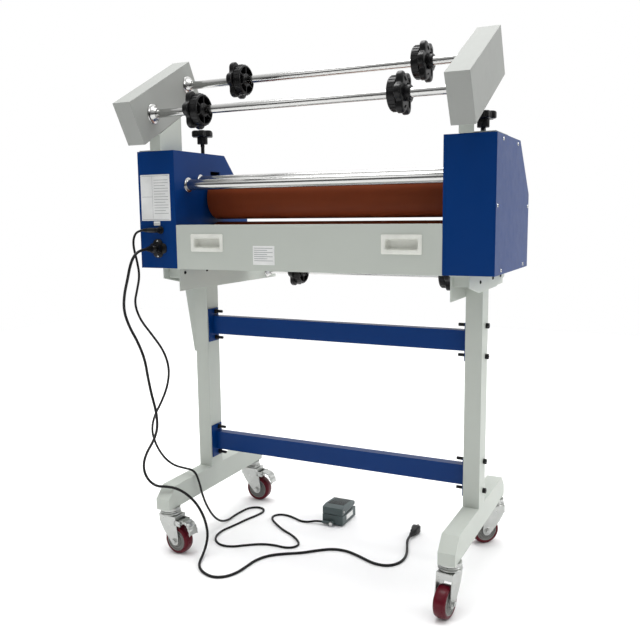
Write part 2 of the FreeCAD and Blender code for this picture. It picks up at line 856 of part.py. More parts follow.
bushes = []
for side in SIDES.values():
    for y, z in film_shaft_axes()[:2]:
        bushes.append(flanged_bush(side, "box_inner", y, z, "film_shaft", "box_bush",
                                   "box_flange", True))
    bushes.append(flanged_bush(side, "gap_half + leg_gap - bracket_plate", "lower_shaft_y",
                               "lower_shaft_z", "film_shaft", "lower_bush", "lower_flange", True))
    bushes.append(flanged_bush(side, "gap_half", 0, "nip_low", "journal",
                               "journal + roller_bush_wall", "roller_flange", False))
    for guide in ("front_guide", "rear_guide"):
        bushes.append(flanged_bush(side, "gap_half", guide + "_y", guide + "_z", "guide_journal",
                                   "guide_journal + guide_bush_wall", guide + "_flange", False))
node("flanged_bushes", group(*bushes))


# ---------------------------------------------------------------- rollers and drive

def roller_core(z, left_reach, right_reach):
    """A thick-walled steel tube with closed ends on a shaft that makes both journals."""
    core = cut(rod("x", "-1*core_half", 0, z, "core_radius", "2*core_half"),
               rod("x", "-1*core_half + end_disc", 0, z, "core_radius - core_wall",
                   "2*core_half - 2*end_disc"))
    journal = rod("x", "-1*gap_half - %s" % left_reach, 0, z, "journal",
                  "2*gap_half + %s + %s" % (left_reach, right_reach))
    return fuse(core, journal)


def roller_sleeve(z):
    skin = rod("x", "-1*core_half + sleeve_inset", 0, z, "roller_radius", "2*core_half - 2*sleeve_inset")
    bore = rod("x", "-1*core_half + sleeve_inset", 0, z, "core_radius", "2*core_half - 2*sleeve_inset")
    return cut(skin, bore)


def gear_shape(teeth, width, phase):
    """A spur gear about X: straight-flanked teeth with some backlash, one of them at phase."""
    pitch_radius = teeth * value("tooth_module") / 2
    tip = pitch_radius + value("tooth_module")
    root = pitch_radius - 1.2 * value("tooth_module")
    step = 2 * math.pi / teeth
    points = []
    for tooth in range(teeth):
        middle = phase + tooth * step
        for radius, share in ((root, -0.36), (tip, -0.11), (tip, 0.11), (root, 0.36)):
            angle = middle + share * step
            points.append(Vector(0, radius * math.cos(angle), radius * math.sin(angle)))
    points.append(points[0])
    return Part.Face(Part.makePolygon(points)).extrude(Vector(width, 0, 0))


mesh = math.radians(value("mesh_angle"))
centres = (value("gear_teeth") + value("pinion_teeth")) * value("tooth_module") / 2
pinion_y = "%.4f" % (centres * math.cos(mesh))
pinion_z = "nip_low + %.4f" % (centres * math.sin(mesh))
gear_x = "-1*gap_half - gear_gap"


def roller_gear():
    disc = gear_shape(int(value("gear_teeth")), value("gear_width"), mesh)
    bore = rod("x", gear_x, 0, "nip_low", "journal", "gear_width")
    return cut(made(disc, gear_x, 0, "nip_low"), bore)


def motor_pinion():
    """The small gear on the motor's shaft, half a tooth off its mate."""
    teeth = int(value("pinion_teeth"))
    disc = gear_shape(teeth, value("gear_width"), mesh + math.pi + math.pi / teeth)
    shaft = rod("x", gear_x + " - motor_shaft_start", pinion_y, pinion_z, "motor_shaft",
                "motor_shaft_length")
    return fuse(made(disc, gear_x, pinion_y, pinion_z), shaft)


def drive_motor():
    """Face plate on three posts, gearbox and can."""
    plate_x = "-1*gap_half - motor_plate_gap"
    plate = block(plate_x, pinion_y + " - motor_plate/2", pinion_z + " - motor_plate/2",
                  "motor_plate_thick", "motor_plate", "motor_plate")
    posts = []
    for across, up in ((1, 1), (1, -1), (-1, 1)):
        posts.append(rod("x", plate_x + " + motor_plate_thick",
                         pinion_y + " + %d*motor_post_spread" % across,
                         pinion_z + " + %d*motor_post_spread" % up,
                         "motor_post", "motor_post_length - frame_plate"))
    gearbox = rod("x", plate_x + " - gearbox_length", pinion_y, pinion_z, "gearbox_radius",
                  "gearbox_length")
    can = rod("x", plate_x + " - gearbox_length - motor_can_length", pinion_y, pinion_z, "motor_can",
              "motor_can_length")
    bore = rod("x", plate_x + " - motor_bore + motor_plate_thick", pinion_y, pinion_z,
               "motor_shaft + running_gap", "motor_bore")
    return cut(fuse(plate, gearbox, can, *posts), bore)


node("drive_motor", drive_motor())
node("motor_pinion", motor_pinion())
node("roller_gear", roller_gear())
node("lower_roller_core", roller_core("nip_low", "drive_reach", "plain_reach"))
node("lower_roller_sleeve", roller_sleeve("nip_low"))
node("upper_roller_core", roller_core("nip_high", "upper_reach", "upper_reach"))
node("upper_roller_sleeve", roller_sleeve("nip_high"))


def bearing_block(side):
    """Slides in the frame's slot, carries the journal and takes the screw's end."""
    low = "nip_high - block_height/2"
    slide = block(slab_x(side, "gap_half + block_gap", "frame_plate"), "-1*block_half", low,
                  "frame_plate", "2*block_half", "block_height")
    reach = "screw_reach + ledge_reach - frame_plate"
    carrier = block(slab_x(side, "gap_half + frame_plate + carrier_gap", reach), "-1*carrier_width/2",
                    low, reach, "carrier_width", "block_height")
    bore = rod("x", slab_x(side, "gap_half", "block_bore"), 0, "nip_high", "journal + running_gap",
               "block_bore")
    well = rod("z", screw_x(side), 0, "nip_high - screw_well", "screw_radius + running_gap",
               "well_depth")
    return cut(fuse(slide, carrier), bore, well)


node("bearing_blocks", group(*[bearing_block(side) for side in SIDES.values()]))


LOBES = 6


def lobed(radius, dip, lobes, thickness):
    """A flat star grip about Z with soft lobes."""
    count = lobes * 8
    points = []
    for step in range(count):
        angle = 2 * math.pi * step / count
        reach = radius - dip * (1 - math.cos(lobes * angle)) / 2
        points.append(Vector(reach * math.cos(angle), reach * math.sin(angle), 0))
    curve = Part.BSplineCurve()
    curve.interpolate(points, PeriodicFlag=True)
    return Part.Face(Part.Wire(curve.toShape())).extrude(Vector(0, 0, thickness))


def pressure_screw(side):
    """A screw that ends in the bearing block, with a star knob on a hub."""
    x = screw_x(side)
    stem = rod("z", x, 0, "nip_high - screw_seat", "screw_radius", "knob_top - nip_high + screw_seat - 1")
    hub = rod("z", x, 0, "knob_top - knob_hub_low", "knob_hub", "knob_hub_height")
    star = lobed(value("knob_radius"), value("knob_dip"), LOBES, value("knob_height"))
    star = made(star, x, 0, "knob_top - knob_height")
    return fuse(stem, hub, star)


for name, side in SIDES.items():
    node(name + "_pressure_screw", pressure_screw(side))


def guide_roller(y, z, radius):
    tube = rod("x", "-1*gap_half + guide_gap", y, z, radius, "2*gap_half - 2*guide_gap")
    journal = rod("x", "-1*gap_half - guide_journal_reach", y, z, "guide_journal",
                  "2*gap_half + 2*guide_journal_reach")
    return fuse(tube, journal)


node("front_guide_roller", guide_roller("front_guide_y", "front_guide_z", "front_guide"))
node("rear_guide_roller", guide_roller("rear_guide_y", "rear_guide_z", "rear_guide"))


# ---------------------------------------------------------------- film shafts and core chucks

def film_shaft(y, z, half):
    return rod("x", "-1*" + half, y, z, "film_shaft", "2*" + half)


def chuck_shape(side):
    """A core chuck about X: a spoked plug towards the middle and a star grip outside."""
    radius = value("chuck_radius")
    depth = value("chuck_depth")
    floor = value("chuck_floor")
    bore = value("film_shaft") + value("running_gap")
    inward = Vector(-side, 0, 0)
    outward = Vector(side, 0, 0)
    start = Vector()
    hub_start = inward * value("hub_inward")
    length = value("hub_inward") + value("hub_outward")
    hub = Part.makeCylinder(value("chuck_hub"), length, hub_start, outward)
    ring = Part.makeCylinder(radius, depth, start, inward)
    pocket = Part.makeCylinder(radius - value("chuck_rim"), depth, inward * floor, inward)
    shape = hub.fuse(ring.cut(pocket))
    width = value("spoke_width")
    thickness = value("spoke_thickness")
    for spoke in range(LOBES):
        arm = Part.makeBox(width, thickness, radius - 3, Vector(-width / 2, -thickness / 2, 0))
        arm.translate(inward * depth / 2)
        arm.rotate(start, Vector(1, 0, 0), spoke * 360 / LOBES)
        shape = shape.fuse(arm)
    star = lobed(value("grip_radius"), value("grip_dip"), LOBES, value("grip_height"))
    star.rotate(start, Vector(0, 1, 0), 90 * side)
    star.translate(outward * value("grip_offset"))
    shape = shape.fuse(star)
    hole = Part.makeCylinder(bore, length, hub_start, outward)
    return shape.cut(hole).removeSplitter()


for name, (y, z) in zip(("front", "rear"), film_shaft_axes()):
    node(name + "_film_shaft", film_shaft(y, z, "(box_inner + box_shaft_reach)"))
node("lower_film_shaft", film_shaft("lower_shaft_y", "lower_shaft_z",
                                     "(gap_half + lower_shaft_reach)"))

CHUCK_SPOTS = {
    "front_left_chuck": (-250, 0),
    "front_right_chuck": (262, 0),
    "rear_left_chuck": (-222, 1),
    "rear_right_chuck": (262, 1),
}
for name, (x, shaft) in CHUCK_SPOTS.items():
    y, z = film_shaft_axes()[shaft]
    node(name, made(chuck_shape(1 if x > 0 else -1), x, y, z))
lower = [made(chuck_shape(1 if x > 0 else -1), x, "lower_shaft_y", "lower_shaft_z")
         for x in (-250, 222)]
node("lower_chucks", group(*lower))


# ---------------------------------------------------------------- controls and sockets

slope = Vector(0, value("housing_far") - value("slope_top"), value("slope_foot") - value("housing_top"))
SLOPE_TILT = math.degrees(math.atan2(slope.z, slope.y))
PANEL_START = 20


def on_slope(piece, x, along, lift=0):
    """Set a piece, made flat about its own corner, on the left housing's sloping face."""
    fall = Vector(slope).normalize()
    spot = fall * along + Vector(0, -fall.z, fall.y) * lift
    piece.Placement = Placement(Vector(), Rotation(Vector(1, 0, 0), SLOPE_TILT))
    return place(piece, x, "slope_top + %.4f" % spot.y, "housing_top - %.4f" % -spot.z)


def control_panel():
    """A plate with a raised display window and a bushing for the speed knob."""
    thick = "panel_plate_thick"
    plate = block(0, 0, 0, "panel_plate_width", "panel_plate_length", thick, datum="0")
    window = block("window_x", "window_y", thick, "window_width", "window_height", thick, datum="0")
    hole = rod("z", "dial_x", "dial_y", 0, "dial_stem + running_gap", 4, datum="0")
    return on_slope(cut(fuse(plate, window), hole), "-1*gap_half - 100", PANEL_START)


def speed_knob():
    cap = rod("z", 0, 0, "dial_lift", "dial_radius", "dial_height", datum="0")
    pointer = block(-1.5, 4, "dial_lift + dial_height", 3, 8, 1.2, datum="0")
    stem = rod("z", 0, 0, 0.2, "dial_stem", 3, datum="0")
    return on_slope(fuse(cap, pointer, stem), "-1*gap_half - 100 + dial_x",
                    PANEL_START + value("dial_y"))


node("control_panel", control_panel())
node("speed_knob", speed_knob())


def rear_sockets():
    """The mains inlet with its flange, and the round pedal socket over it."""
    near = "housing_near - inlet_flange"
    flange = block("inlet_x - inlet_width/2", near, "inlet_z - inlet_height/2", "inlet_width",
                   "inlet_flange", "inlet_height")
    wings = block("inlet_x - wing_width/2", near, "inlet_z - wing_height/2", "wing_width",
                  "inlet_flange", "wing_height")
    shell = rod("y", "inlet_x", "housing_near", "inlet_z", "inlet_shell", "inlet_depth")
    collar = rod("y", "socket_x", "housing_near - collar_height", "socket_z", "collar_radius",
                 "collar_height")
    barrel = rod("y", "socket_x", "housing_near", "socket_z", "socket_barrel", "socket_depth")
    return group(fuse(flange, wings, shell), fuse(collar, barrel))


node("rear_sockets", rear_sockets())


# ---------------------------------------------------------------- plugs

def inlet_plug():
    """A straight appliance plug on the inlet, with a tapered cord guard."""
    near = "housing_near - inlet_flange - plug_length"
    body = block("inlet_x - plug_width/2", near, "inlet_z - plug_height/2", "plug_width",
                 "plug_length", "plug_height")
    guard = taper("y", "inlet_x", near + " - plug_guard", "inlet_z", "plug_guard_thin",
                  "plug_guard_thick", "plug_guard")
    return fuse(body, guard)


def pedal_plug():
    """An elbow plug on the pedal socket whose barrel points outwards."""
    line = "housing_near - 15"
    elbow = rod("y", "socket_x", "housing_near - collar_height - elbow_length", "socket_z",
                "elbow_radius", "elbow_length")
    barrel = rod("x", "socket_x - elbow_barrel_length", line, "socket_z", "elbow_barrel",
                 "elbow_barrel_length")
    guard = taper("x", "socket_x - elbow_barrel_length - elbow_guard_length", line, "socket_z",
                  "elbow_guard_thin", "elbow_guard_thick", "elbow_guard_length")
    return fuse(elbow, barrel, guard)


MAINS_PLUG = (178, 116)


def mains_plug():
    """A flat-pin plug lying on the floor, its pins away from the lead."""
    x, y = MAINS_PLUG
    guard = taper("y", x, y, "power_cord_dia/2 + 8", 4.5, 8, 22)
    grip = block(x - 12, y + 22, 0.5, 24, 30, 23)
    pins = [block(x - 7, y + 52, 8, 1.5, 17, 6.5), block(x + 5.5, y + 52, 8, 1.5, 17, 6.5),
            rod("y", x, y + 52, 18, 2.3, 19)]
    return fuse(guard, grip, *pins)


node("inlet_plug", inlet_plug())
node("pedal_plug", pedal_plug())
node("mains_plug", mains_plug())


# ---------------------------------------------------------------- foot switch

def pedal_base():
    """The foot switch's tray: four feet, two lugs for the hinge and an angled cord guard."""
    x = "pedal_x - pedal_width/2"
    tray = block(x, "pedal_near", 3, "pedal_width", "pedal_length", "pedal_base_height - 3")
    feet = [block(x + " + %d" % across, "pedal_near + %d" % deep, 0, 12, 12, 3)
            for across in (4, 48) for deep in (4, 76)]
    lugs = [block(x + across, "pedal_near + 2", "pedal_base_height", 4, 14, 18)
            for across in (" + 4", " + pedal_width - 8")]
    pin = rod("x", x + " + 4", "pedal_near + 9", "pedal_base_height + 11", 2.5, "pedal_width - 8")
    gland = rod("y", "pedal_x", "pedal_near - 14", 9, 6, 14)
    guard = taper("x", "pedal_x - 30", "pedal_near - 8", 9, 3.6, 5.5, 30)
    return fuse(tray, pin, gland, guard, *(feet + lugs))


def pedal_treadle():
    """The hooded treadle over the tray, bored for its hinge pin."""
    outline = [("0", "pedal_base_height + 2"), ("pedal_length - 6", "pedal_base_height + 8"),
               ("pedal_length - 2", "pedal_base_height + 14"), ("pedal_length - 12", "pedal_height - 4"),
               ("20", "pedal_height"), ("0", "pedal_height - 4")]
    x = "pedal_x - pedal_width/2"
    hood = profile("YZ_Plane", outline, "pedal_width - 1", x + " + 0.5", "pedal_near")
    slots = [block(x + across, "pedal_near + 0.4", "pedal_base_height", 4.8, 17.2, 19.6)
             for across in (" + 3.6", " + pedal_width - 8.4")]
    bore = rod("x", x, "pedal_near + 9", "pedal_base_height + 11", 2.55, "pedal_width")
    return cut(hood, bore, *slots)


node("pedal_base", pedal_base())
node("pedal_treadle", pedal_treadle())


# ---------------------------------------------------------------- leads

def tube(points, diameter, label):
    """A lead: straight runs joined by tangent arcs, each as large as its two runs allow."""
    runs = [(b - a).Length for a, b in zip(points, points[1:])]
    edges = []
    start = points[0]
    smallest = None
    for index in range(1, len(points) - 1):
        corner = points[index]
        back = (points[index - 1] - corner).normalize()
        ahead = (points[index + 1] - corner).normalize()
        half_turn = (math.pi - back.getAngle(ahead)) / 2
        trim = 0.45 * min(runs[index - 1], runs[index])
        radius = trim / math.tan(half_turn)
        smallest = radius if smallest is None else min(smallest, radius)
        first = corner + back * trim
        last = corner + ahead * trim
        bisector = (back + ahead).normalize()
        middle = corner + bisector * (radius / math.cos(half_turn) - radius)
        edges.append(Part.LineSegment(start, first).toShape())
        edges.append(Part.Arc(first, middle, last).toShape())
        start = last
        print(label, "point", index, "radius %.1f" % radius, "run %.1f" % runs[index - 1],
              "turn %.0f" % math.degrees(2 * half_turn))
    edges.append(Part.LineSegment(start, points[-1]).toShape())
    path = Part.Wire(edges)
    ring = Part.Circle(points[0], points[1] - points[0], diameter / 2).toShape()
    solid = path.makePipeShell([Part.Wire(ring)], True, False)
    wanted = math.pi * diameter ** 2 / 4 * path.Length
    print(label, "length %.1f" % path.Length, "volume ratio %.4f" % (solid.Volume / wanted),
          "smallest radius %.1f" % smallest)
    return solid


# Routes of the two leads, from the plug on the housing to the far end. X, Y and Z of the whole
# frame, in millimetres.
PEDAL_ROUTE = [
    (-442, -222.4, 854), (-462, -222.4, 852), (-473, -225, 836), (-472, -229, 812),
    (-459, -232, 774), (-452, -233, 737), (-463, -232, 700), (-475, -231, 664),
    (-460, -230, 622), (-424, -229, 584), (-388, -227, 542), (-374, -225, 496),
    (-384, -223, 448), (-409, -219, 402), (-440, -214, 358), (-457, -206, 312),
    (-452, -192, 266), (-442, -174, 230), (-424, -156, 206), (-396, -146, 199),
    (-362, -148, 198), (-347, -149, 170), (-344, -140, 128), (-345, -118, 86), (-346, -88, 46),
    (-348, -50, 16), (-350, -8, 3), (-352, 36, 3), (-348, 76, 3), (-342, 100, 3),
    (-322, 116, 3), (-298, 112, 3), (-286, 90, 3), (-292, 56, 3), (-305, 14, 3), (-313, -32, 3),
    (-325, -74, 3), (-322, -112, 3), (-305, -142, 3), (-276, -160, 3), (-243, -156, 3),
    (-212, -130, 3), (-178, -106, 3), (-140, -98, 3), (-112, -101, 3), (-90, -92, 3),
    (-82, -70, 3), (-97, -48, 3), (-128, -22, 3), (-168, -2, 3), (-206, 26, 3), (-234, 50, 3),
    (-246, 74, 3), (-234, 94, 3), (-209, 98, 3), (-180, 88, 3), (-150, 74, 3), (-126, 79, 4),
    (-108, 85.6, 8), (-88, 85.6, 9),
]
POWER_ROUTE = [
    (-408, -254.4, 807), (-408, -279, 806), (-410, -302, 794), (-413, -315, 770),
    (-421, -317, 736), (-437, -313, 698), (-447, -307, 656), (-438, -300, 614),
    (-415, -295, 573), (-400, -290, 529), (-397, -285, 483), (-391, -281, 437),
    (-381, -277, 392), (-383, -272, 347), (-402, -267, 310), (-426, -264, 278),
    (-442, -261, 248), (-445, -259, 219), (-433, -257, 195), (-410, -254, 181),
    (-382, -250, 183), (-354, -245, 182), (-327, -236, 168), (-305, -223, 140),
    (-294, -211, 106), (-289, -204, 76), (-286, -203, 48), (-283, -216, 25), (-278, -239, 9.5),
    (-270, -266, 3.5), (-253, -293, 3.5), (-226, -314, 3.5), (-192, -324, 3.5),
    (-164, -310, 3.5), (-149, -280, 3.5), (-145, -240, 3.5), (-143, -200, 3.5),
    (-126, -162, 3.5), (-92, -134, 3.5), (-54, -112, 3.5), (-22, -80, 3.5), (12, -54, 3.5),
    (52, -50, 3.5), (98, -68, 3.5), (144, -90, 3.5), (184, -86, 3.5), (205, -52, 3.5),
    (203, -6, 3.5), (190, 34, 7), (178, 66, 11.5), (178, 93.6, 11.5),
]

for lead, route in (("pedal_cord", PEDAL_ROUTE), ("power_cord", POWER_ROUTE)):
    points = [Vector(*spot) for spot in route]
    node(lead, made(tube(points, value(lead + "_dia"), lead), datum="0"))


# ---------------------------------------------------------------- checks and files

doc.recompute()
for item in doc.Objects:
    if "Invalid" in item.State or "Error" in item.State:
        raise RuntimeError("%s (%s) did not compute: %s" % (item.Name, item.Label, item.State))
for piece in NODES:
    if piece.Shape.isNull() or not piece.Shape.isValid():
        raise RuntimeError("%s has no valid shape" % piece.Label)

os.makedirs("parts", exist_ok=True)
for piece in NODES:
    piece.Shape.exportStep("parts/%s.step" % piece.Label)
print(len(NODES), "nodes written")
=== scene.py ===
import json
import math

import bmesh
import bpy
from mathutils import Matrix, Vector


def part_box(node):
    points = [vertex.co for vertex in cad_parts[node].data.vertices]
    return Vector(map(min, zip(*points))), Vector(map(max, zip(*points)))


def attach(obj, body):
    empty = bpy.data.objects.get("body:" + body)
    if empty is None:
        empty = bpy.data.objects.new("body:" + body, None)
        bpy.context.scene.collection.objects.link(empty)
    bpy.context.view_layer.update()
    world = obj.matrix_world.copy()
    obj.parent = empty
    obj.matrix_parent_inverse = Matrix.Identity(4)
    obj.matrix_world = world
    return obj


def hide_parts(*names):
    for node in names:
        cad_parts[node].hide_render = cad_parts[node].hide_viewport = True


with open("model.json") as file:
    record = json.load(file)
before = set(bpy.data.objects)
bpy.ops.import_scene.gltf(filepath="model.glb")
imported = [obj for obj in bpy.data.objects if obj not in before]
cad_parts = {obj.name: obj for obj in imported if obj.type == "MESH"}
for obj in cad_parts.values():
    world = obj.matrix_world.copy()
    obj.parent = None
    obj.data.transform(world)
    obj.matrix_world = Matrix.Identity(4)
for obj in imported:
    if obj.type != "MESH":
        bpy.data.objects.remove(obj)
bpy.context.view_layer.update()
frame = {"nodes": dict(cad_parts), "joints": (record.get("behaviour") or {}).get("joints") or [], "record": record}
NODES = frame["nodes"]
JOINTS = {joint["name"]: joint for joint in frame["joints"]}
BODY_OF = {node: body for body, nodes in frame["record"]["behaviour"]["bodies"].items()
           for node in nodes}


# ---------------------------------------------------------------- camera

def camera():
    """Stands in front of the socket side, to the right, looking slightly down."""
    place = (0.8291, -1.7909, 0.8891)
    yaw = math.radians(26.04)
    pitch = math.radians(-7.93)
    roll = math.radians(-0.62)
    ahead = Vector((-math.sin(yaw) * math.cos(pitch), math.cos(yaw) * math.cos(pitch), math.sin(pitch)))
    right = Vector((math.cos(yaw), math.sin(yaw), 0))
    up = right.cross(ahead)
    turned_right = right * math.cos(roll) + up * math.sin(roll)
    turned_up = up * math.cos(roll) - right * math.sin(roll)
    data = bpy.data.cameras.new("camera")
    data.lens = 42.54
    data.sensor_width = 36
    obj = bpy.data.objects.new("camera", data)
    obj.matrix_world = Matrix.Translation(place) @ Matrix(
        (turned_right, turned_up, -ahead)).transposed().to_4x4()
    bpy.context.scene.collection.objects.link(obj)
    bpy.context.scene.camera = obj


camera()


# ---------------------------------------------------------------- materials

class Shader:
    """A principled material with a few helpers for its node tree."""

    def __init__(self, name, colour, roughness, metallic=0.0, **sockets):
        self.material = bpy.data.materials.new(name)
        self.material.use_nodes = True
        self.tree = self.material.node_tree
        self.surface = self.tree.nodes["Principled BSDF"]
        self.surface.inputs["Base Color"].default_value = (*colour, 1)
        self.surface.inputs["Roughness"].default_value = roughness
        self.surface.inputs["Metallic"].default_value = metallic
        for socket, number in sockets.items():
            self.surface.inputs[socket.replace("_", " ")].default_value = number
        self.places = self.tree.nodes.new("ShaderNodeTexCoord").outputs["Object"]

    def add(self, kind, **values):
        item = self.tree.nodes.new("ShaderNode" + kind)
        for key, number in values.items():
            item.inputs[key.replace("_", " ")].default_value = number
        return item

    def link(self, source, target):
        self.tree.links.new(source, target)

    def noise(self, scale, detail=2.0, stretch=(1, 1, 1)):
        spread = self.add("Mapping", Scale=stretch)
        self.link(self.places, spread.inputs["Vector"])
        texture = self.add("TexNoise", Scale=scale, Detail=detail)
        self.link(spread.outputs["Vector"], texture.inputs["Vector"])
        return texture.outputs["Fac"]

    def vary_colour(self, factor, first, second):
        ramp = self.tree.nodes.new("ShaderNodeMix")
        ramp.data_type = "RGBA"
        ramp.inputs["A"].default_value = (*first, 1)
        ramp.inputs["B"].default_value = (*second, 1)
        self.link(factor, ramp.inputs["Factor"])
        self.link(ramp.outputs["Result"], self.surface.inputs["Base Color"])

    def vary_roughness(self, factor, low, high):
        span = self.add("MapRange")
        span.inputs["To Min"].default_value = low
        span.inputs["To Max"].default_value = high
        self.link(factor, span.inputs["Value"])
        self.link(span.outputs["Result"], self.surface.inputs["Roughness"])

    def bump(self, height, strength, distance):
        relief = self.add("Bump", Strength=strength, Distance=distance)
        self.link(height, relief.inputs["Height"])
        self.link(relief.outputs["Normal"], self.surface.inputs["Normal"])


def tint(colour, factor):
    return tuple(channel * factor for channel in colour)


def powder_coat(name, colour, roughness):
    """Baked powder paint: an even colour with a fine orange-peel skin."""
    shader = Shader(name, colour, roughness, Specular_IOR_Level=0.14)
    shader.vary_colour(shader.noise(5), tint(colour, 0.95), tint(colour, 1.05))
    shader.vary_roughness(shader.noise(40), roughness - 0.05, roughness + 0.06)
    shader.bump(shader.noise(1400, 3), 0.12, 0.0002)
    return shader.material


def polished_metal(name, colour, roughness, grain):
    """Plated bright steel with faint marks along or round it."""
    shader = Shader(name, colour, roughness, 1.0)
    shader.vary_colour(shader.noise(9), tint(colour, 0.94), tint(colour, 1.04))
    shader.vary_roughness(shader.noise(60, 4, grain), roughness * 0.6, roughness * 1.6)
    shader.bump(shader.noise(300, 2, grain), 0.03, 0.0001)
    return shader.material


def zinc_plate(name, colour):
    """Pressed and plated steel: soft clouds, small scratches."""
    shader = Shader(name, colour, 0.3, 1.0)
    shader.vary_colour(shader.noise(45, 4), tint(colour, 0.78), tint(colour, 1.1))
    shader.vary_roughness(shader.noise(120, 3), 0.2, 0.42)
    shader.bump(shader.noise(220, 3), 0.08, 0.0004)
    return shader.material


def silicone(name, colour):
    """Ground silicone: fine rings round the roller and a dusty bloom."""
    shader = Shader(name, colour, 0.5, Specular_IOR_Level=0.12)
    shader.vary_colour(shader.noise(14, 4, (1, 0.5, 0.5)), tint(colour, 0.86), tint(colour, 1.12))
    shader.vary_roughness(shader.noise(30, 3), 0.42, 0.62)
    shader.bump(shader.noise(900, 2, (1, 0.05, 0.05)), 0.1, 0.0002)
    return shader.material


def moulded(name, colour, roughness, grain=900):
    """Moulded plastic with a fine spark-eroded texture."""
    shader = Shader(name, colour, roughness, Specular_IOR_Level=0.22)
    shader.vary_colour(shader.noise(30, 3), tint(colour, 0.85), tint(colour, 1.15))
    shader.vary_roughness(shader.noise(70), roughness - 0.06, roughness + 0.08)
    shader.bump(shader.noise(grain, 3), 0.15, 0.0002)
    return shader.material


def polyurethane(name, colour):
    """Cast tread: glossy, slightly translucent, scuffed."""
    shader = Shader(name, colour, 0.25, Subsurface_Weight=0.05, Specular_IOR_Level=0.2)
    shader.surface.inputs["Subsurface Radius"].default_value = (0.004, 0.001, 0.001)
    shader.vary_colour(shader.noise(35, 4), tint(colour, 0.75), tint(colour, 1.15))
    shader.vary_roughness(shader.noise(90, 4), 0.2, 0.42)
    shader.bump(shader.noise(260, 3), 0.06, 0.0003)
    return shader.material


LIGHT_GREY = powder_coat("light_grey_paint", (0.47, 0.50, 0.46), 0.42)
BOX_GREY = powder_coat("box_grey_paint", (0.305, 0.315, 0.30), 0.45)
BLUE = powder_coat("blue_paint", (0.0001, 0.030, 0.150), 0.34)
CHROME = polished_metal("chrome", (0.52, 0.52, 0.51), 0.16, (0.05, 1, 1))
STEEL = polished_metal("turned_steel", (0.56, 0.56, 0.55), 0.3, (1, 0.1, 0.1))
ZINC = zinc_plate("zinc_plate", (0.45, 0.46, 0.445))
SILICONE = silicone("silicone", (0.215, 0.044, 0.014))
POLYURETHANE = polyurethane("red_polyurethane", (0.090, 0.002, 0.009))
BLACK = moulded("black_plastic", (0.006, 0.006, 0.0065), 0.3)
# Besides real black oxide parts, this also paints the dark cross on screw heads: painted shade standing for their
# recesses.
BLACK_OXIDE_AND_RECESS_SHADE = moulded("black_oxide_and_recess_shade", (0.009, 0.009, 0.0095), 0.4, 400)
WHITE = moulded("white_plastic", (0.70, 0.71, 0.66), 0.32)
GREY = moulded("grey_plastic", (0.074, 0.098, 0.099), 0.4)
RIM = moulded("rim_plastic", (0.20, 0.20, 0.19), 0.4)
RUBBER = moulded("cable_rubber", (0.005, 0.005, 0.0055), 0.42, 500)
PAPER = moulded("label_film", (0.72, 0.73, 0.72), 0.3, 300)
INK = moulded("label_grey", (0.25, 0.26, 0.27), 0.4, 300)
GLASS = Shader("display_window", (0.004, 0.006, 0.008), 0.06, Coat_Weight=1.0).material
RED = moulded("red_button", (0.42, 0.012, 0.010), 0.3)


# ---------------------------------------------------------------- mesh helpers

RIGHT = Vector((1, 0, 0))
UP = Vector((0, 0, 1))
TO_FRONT = Vector((0, 1, 0))
TO_REAR = Vector((0, -1, 0))
CREASE = math.radians(38)  # edges sharper than this are shaded sharp and eased


def new_piece(name, bm, materials, body, nodes=(), bevel=0.0):
    """Turn a bmesh into a piece that rides on a body and stands for its nodes."""
    bmesh.ops.recalc_face_normals(bm, faces=bm.faces)
    mesh = bpy.data.meshes.new(name)
    bm.to_mesh(mesh)
    bm.free()
    for material in materials:
        mesh.materials.append(material)
    mesh.shade_smooth()
    mesh.set_sharp_from_angle(angle=CREASE)
    obj = bpy.data.objects.new(name, mesh)
    bpy.context.scene.collection.objects.link(obj)
    if bevel:
        rounded_edges(obj, bevel)
    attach(obj, body)
    if nodes:
        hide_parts(*nodes)
    return obj


def finish_node(node, bm, materials, bevel=0.0):
    """A piece that takes the place of one node and rides on the node's own body."""
    return new_piece(node + "_finished", bm, materials, BODY_OF[node], [node], bevel)


def rounded_edges(obj, width):
    bevel = obj.modifiers.new("edges", "BEVEL")
    bevel.width = width
    bevel.segments = 2
    bevel.limit_method = "ANGLE"
    bevel.angle_limit = CREASE
    bevel.use_clamp_overlap = True
    bevel.harden_normals = True


def cad_copy(node, material, width):
    """The node's own shape with eased edges, as sheet metal and mouldings have."""
    bm = bmesh.new()
    bm.from_mesh(NODES[node].data)
    one_micron = 1e-6
    flat = math.radians(0.5)
    bmesh.ops.remove_doubles(bm, verts=bm.verts, dist=one_micron)
    bmesh.ops.dissolve_limit(bm, angle_limit=flat, verts=bm.verts, edges=bm.edges)
    return finish_node(node, bm, [material], width)


def basis(axis):
    """A frame whose Z runs along axis."""
    return Vector(axis).to_track_quat("Z", "Y").to_matrix().to_4x4()


def lathe(bm, centre, axis, profile, segments=48, material=0):
    """Turn a list of (along, radius) about an axis through centre."""
    place = Matrix.Translation(centre) @ basis(axis)
    rings = []
    for along, radius in profile:
        ring = []
        for step in range(segments):
            angle = 2 * math.pi * step / segments
            ring.append(bm.verts.new(place @ Vector(
                (radius * math.cos(angle), radius * math.sin(angle), along))))
        rings.append(ring)
    skin(bm, rings, material)
    return rings


def skin(bm, rings, material=0, close_ends=True):
    """Faces between successive closed rings, with caps on the first and the last."""
    for low, high in zip(rings, rings[1:]):
        count = len(low)
        for step in range(count):
            following = (step + 1) % count
            face = bm.faces.new((low[step], low[following], high[following], high[step]))
            face.material_index = material
    if close_ends:
        for ring in (rings[0], rings[-1]):
            bm.faces.new(ring).material_index = material


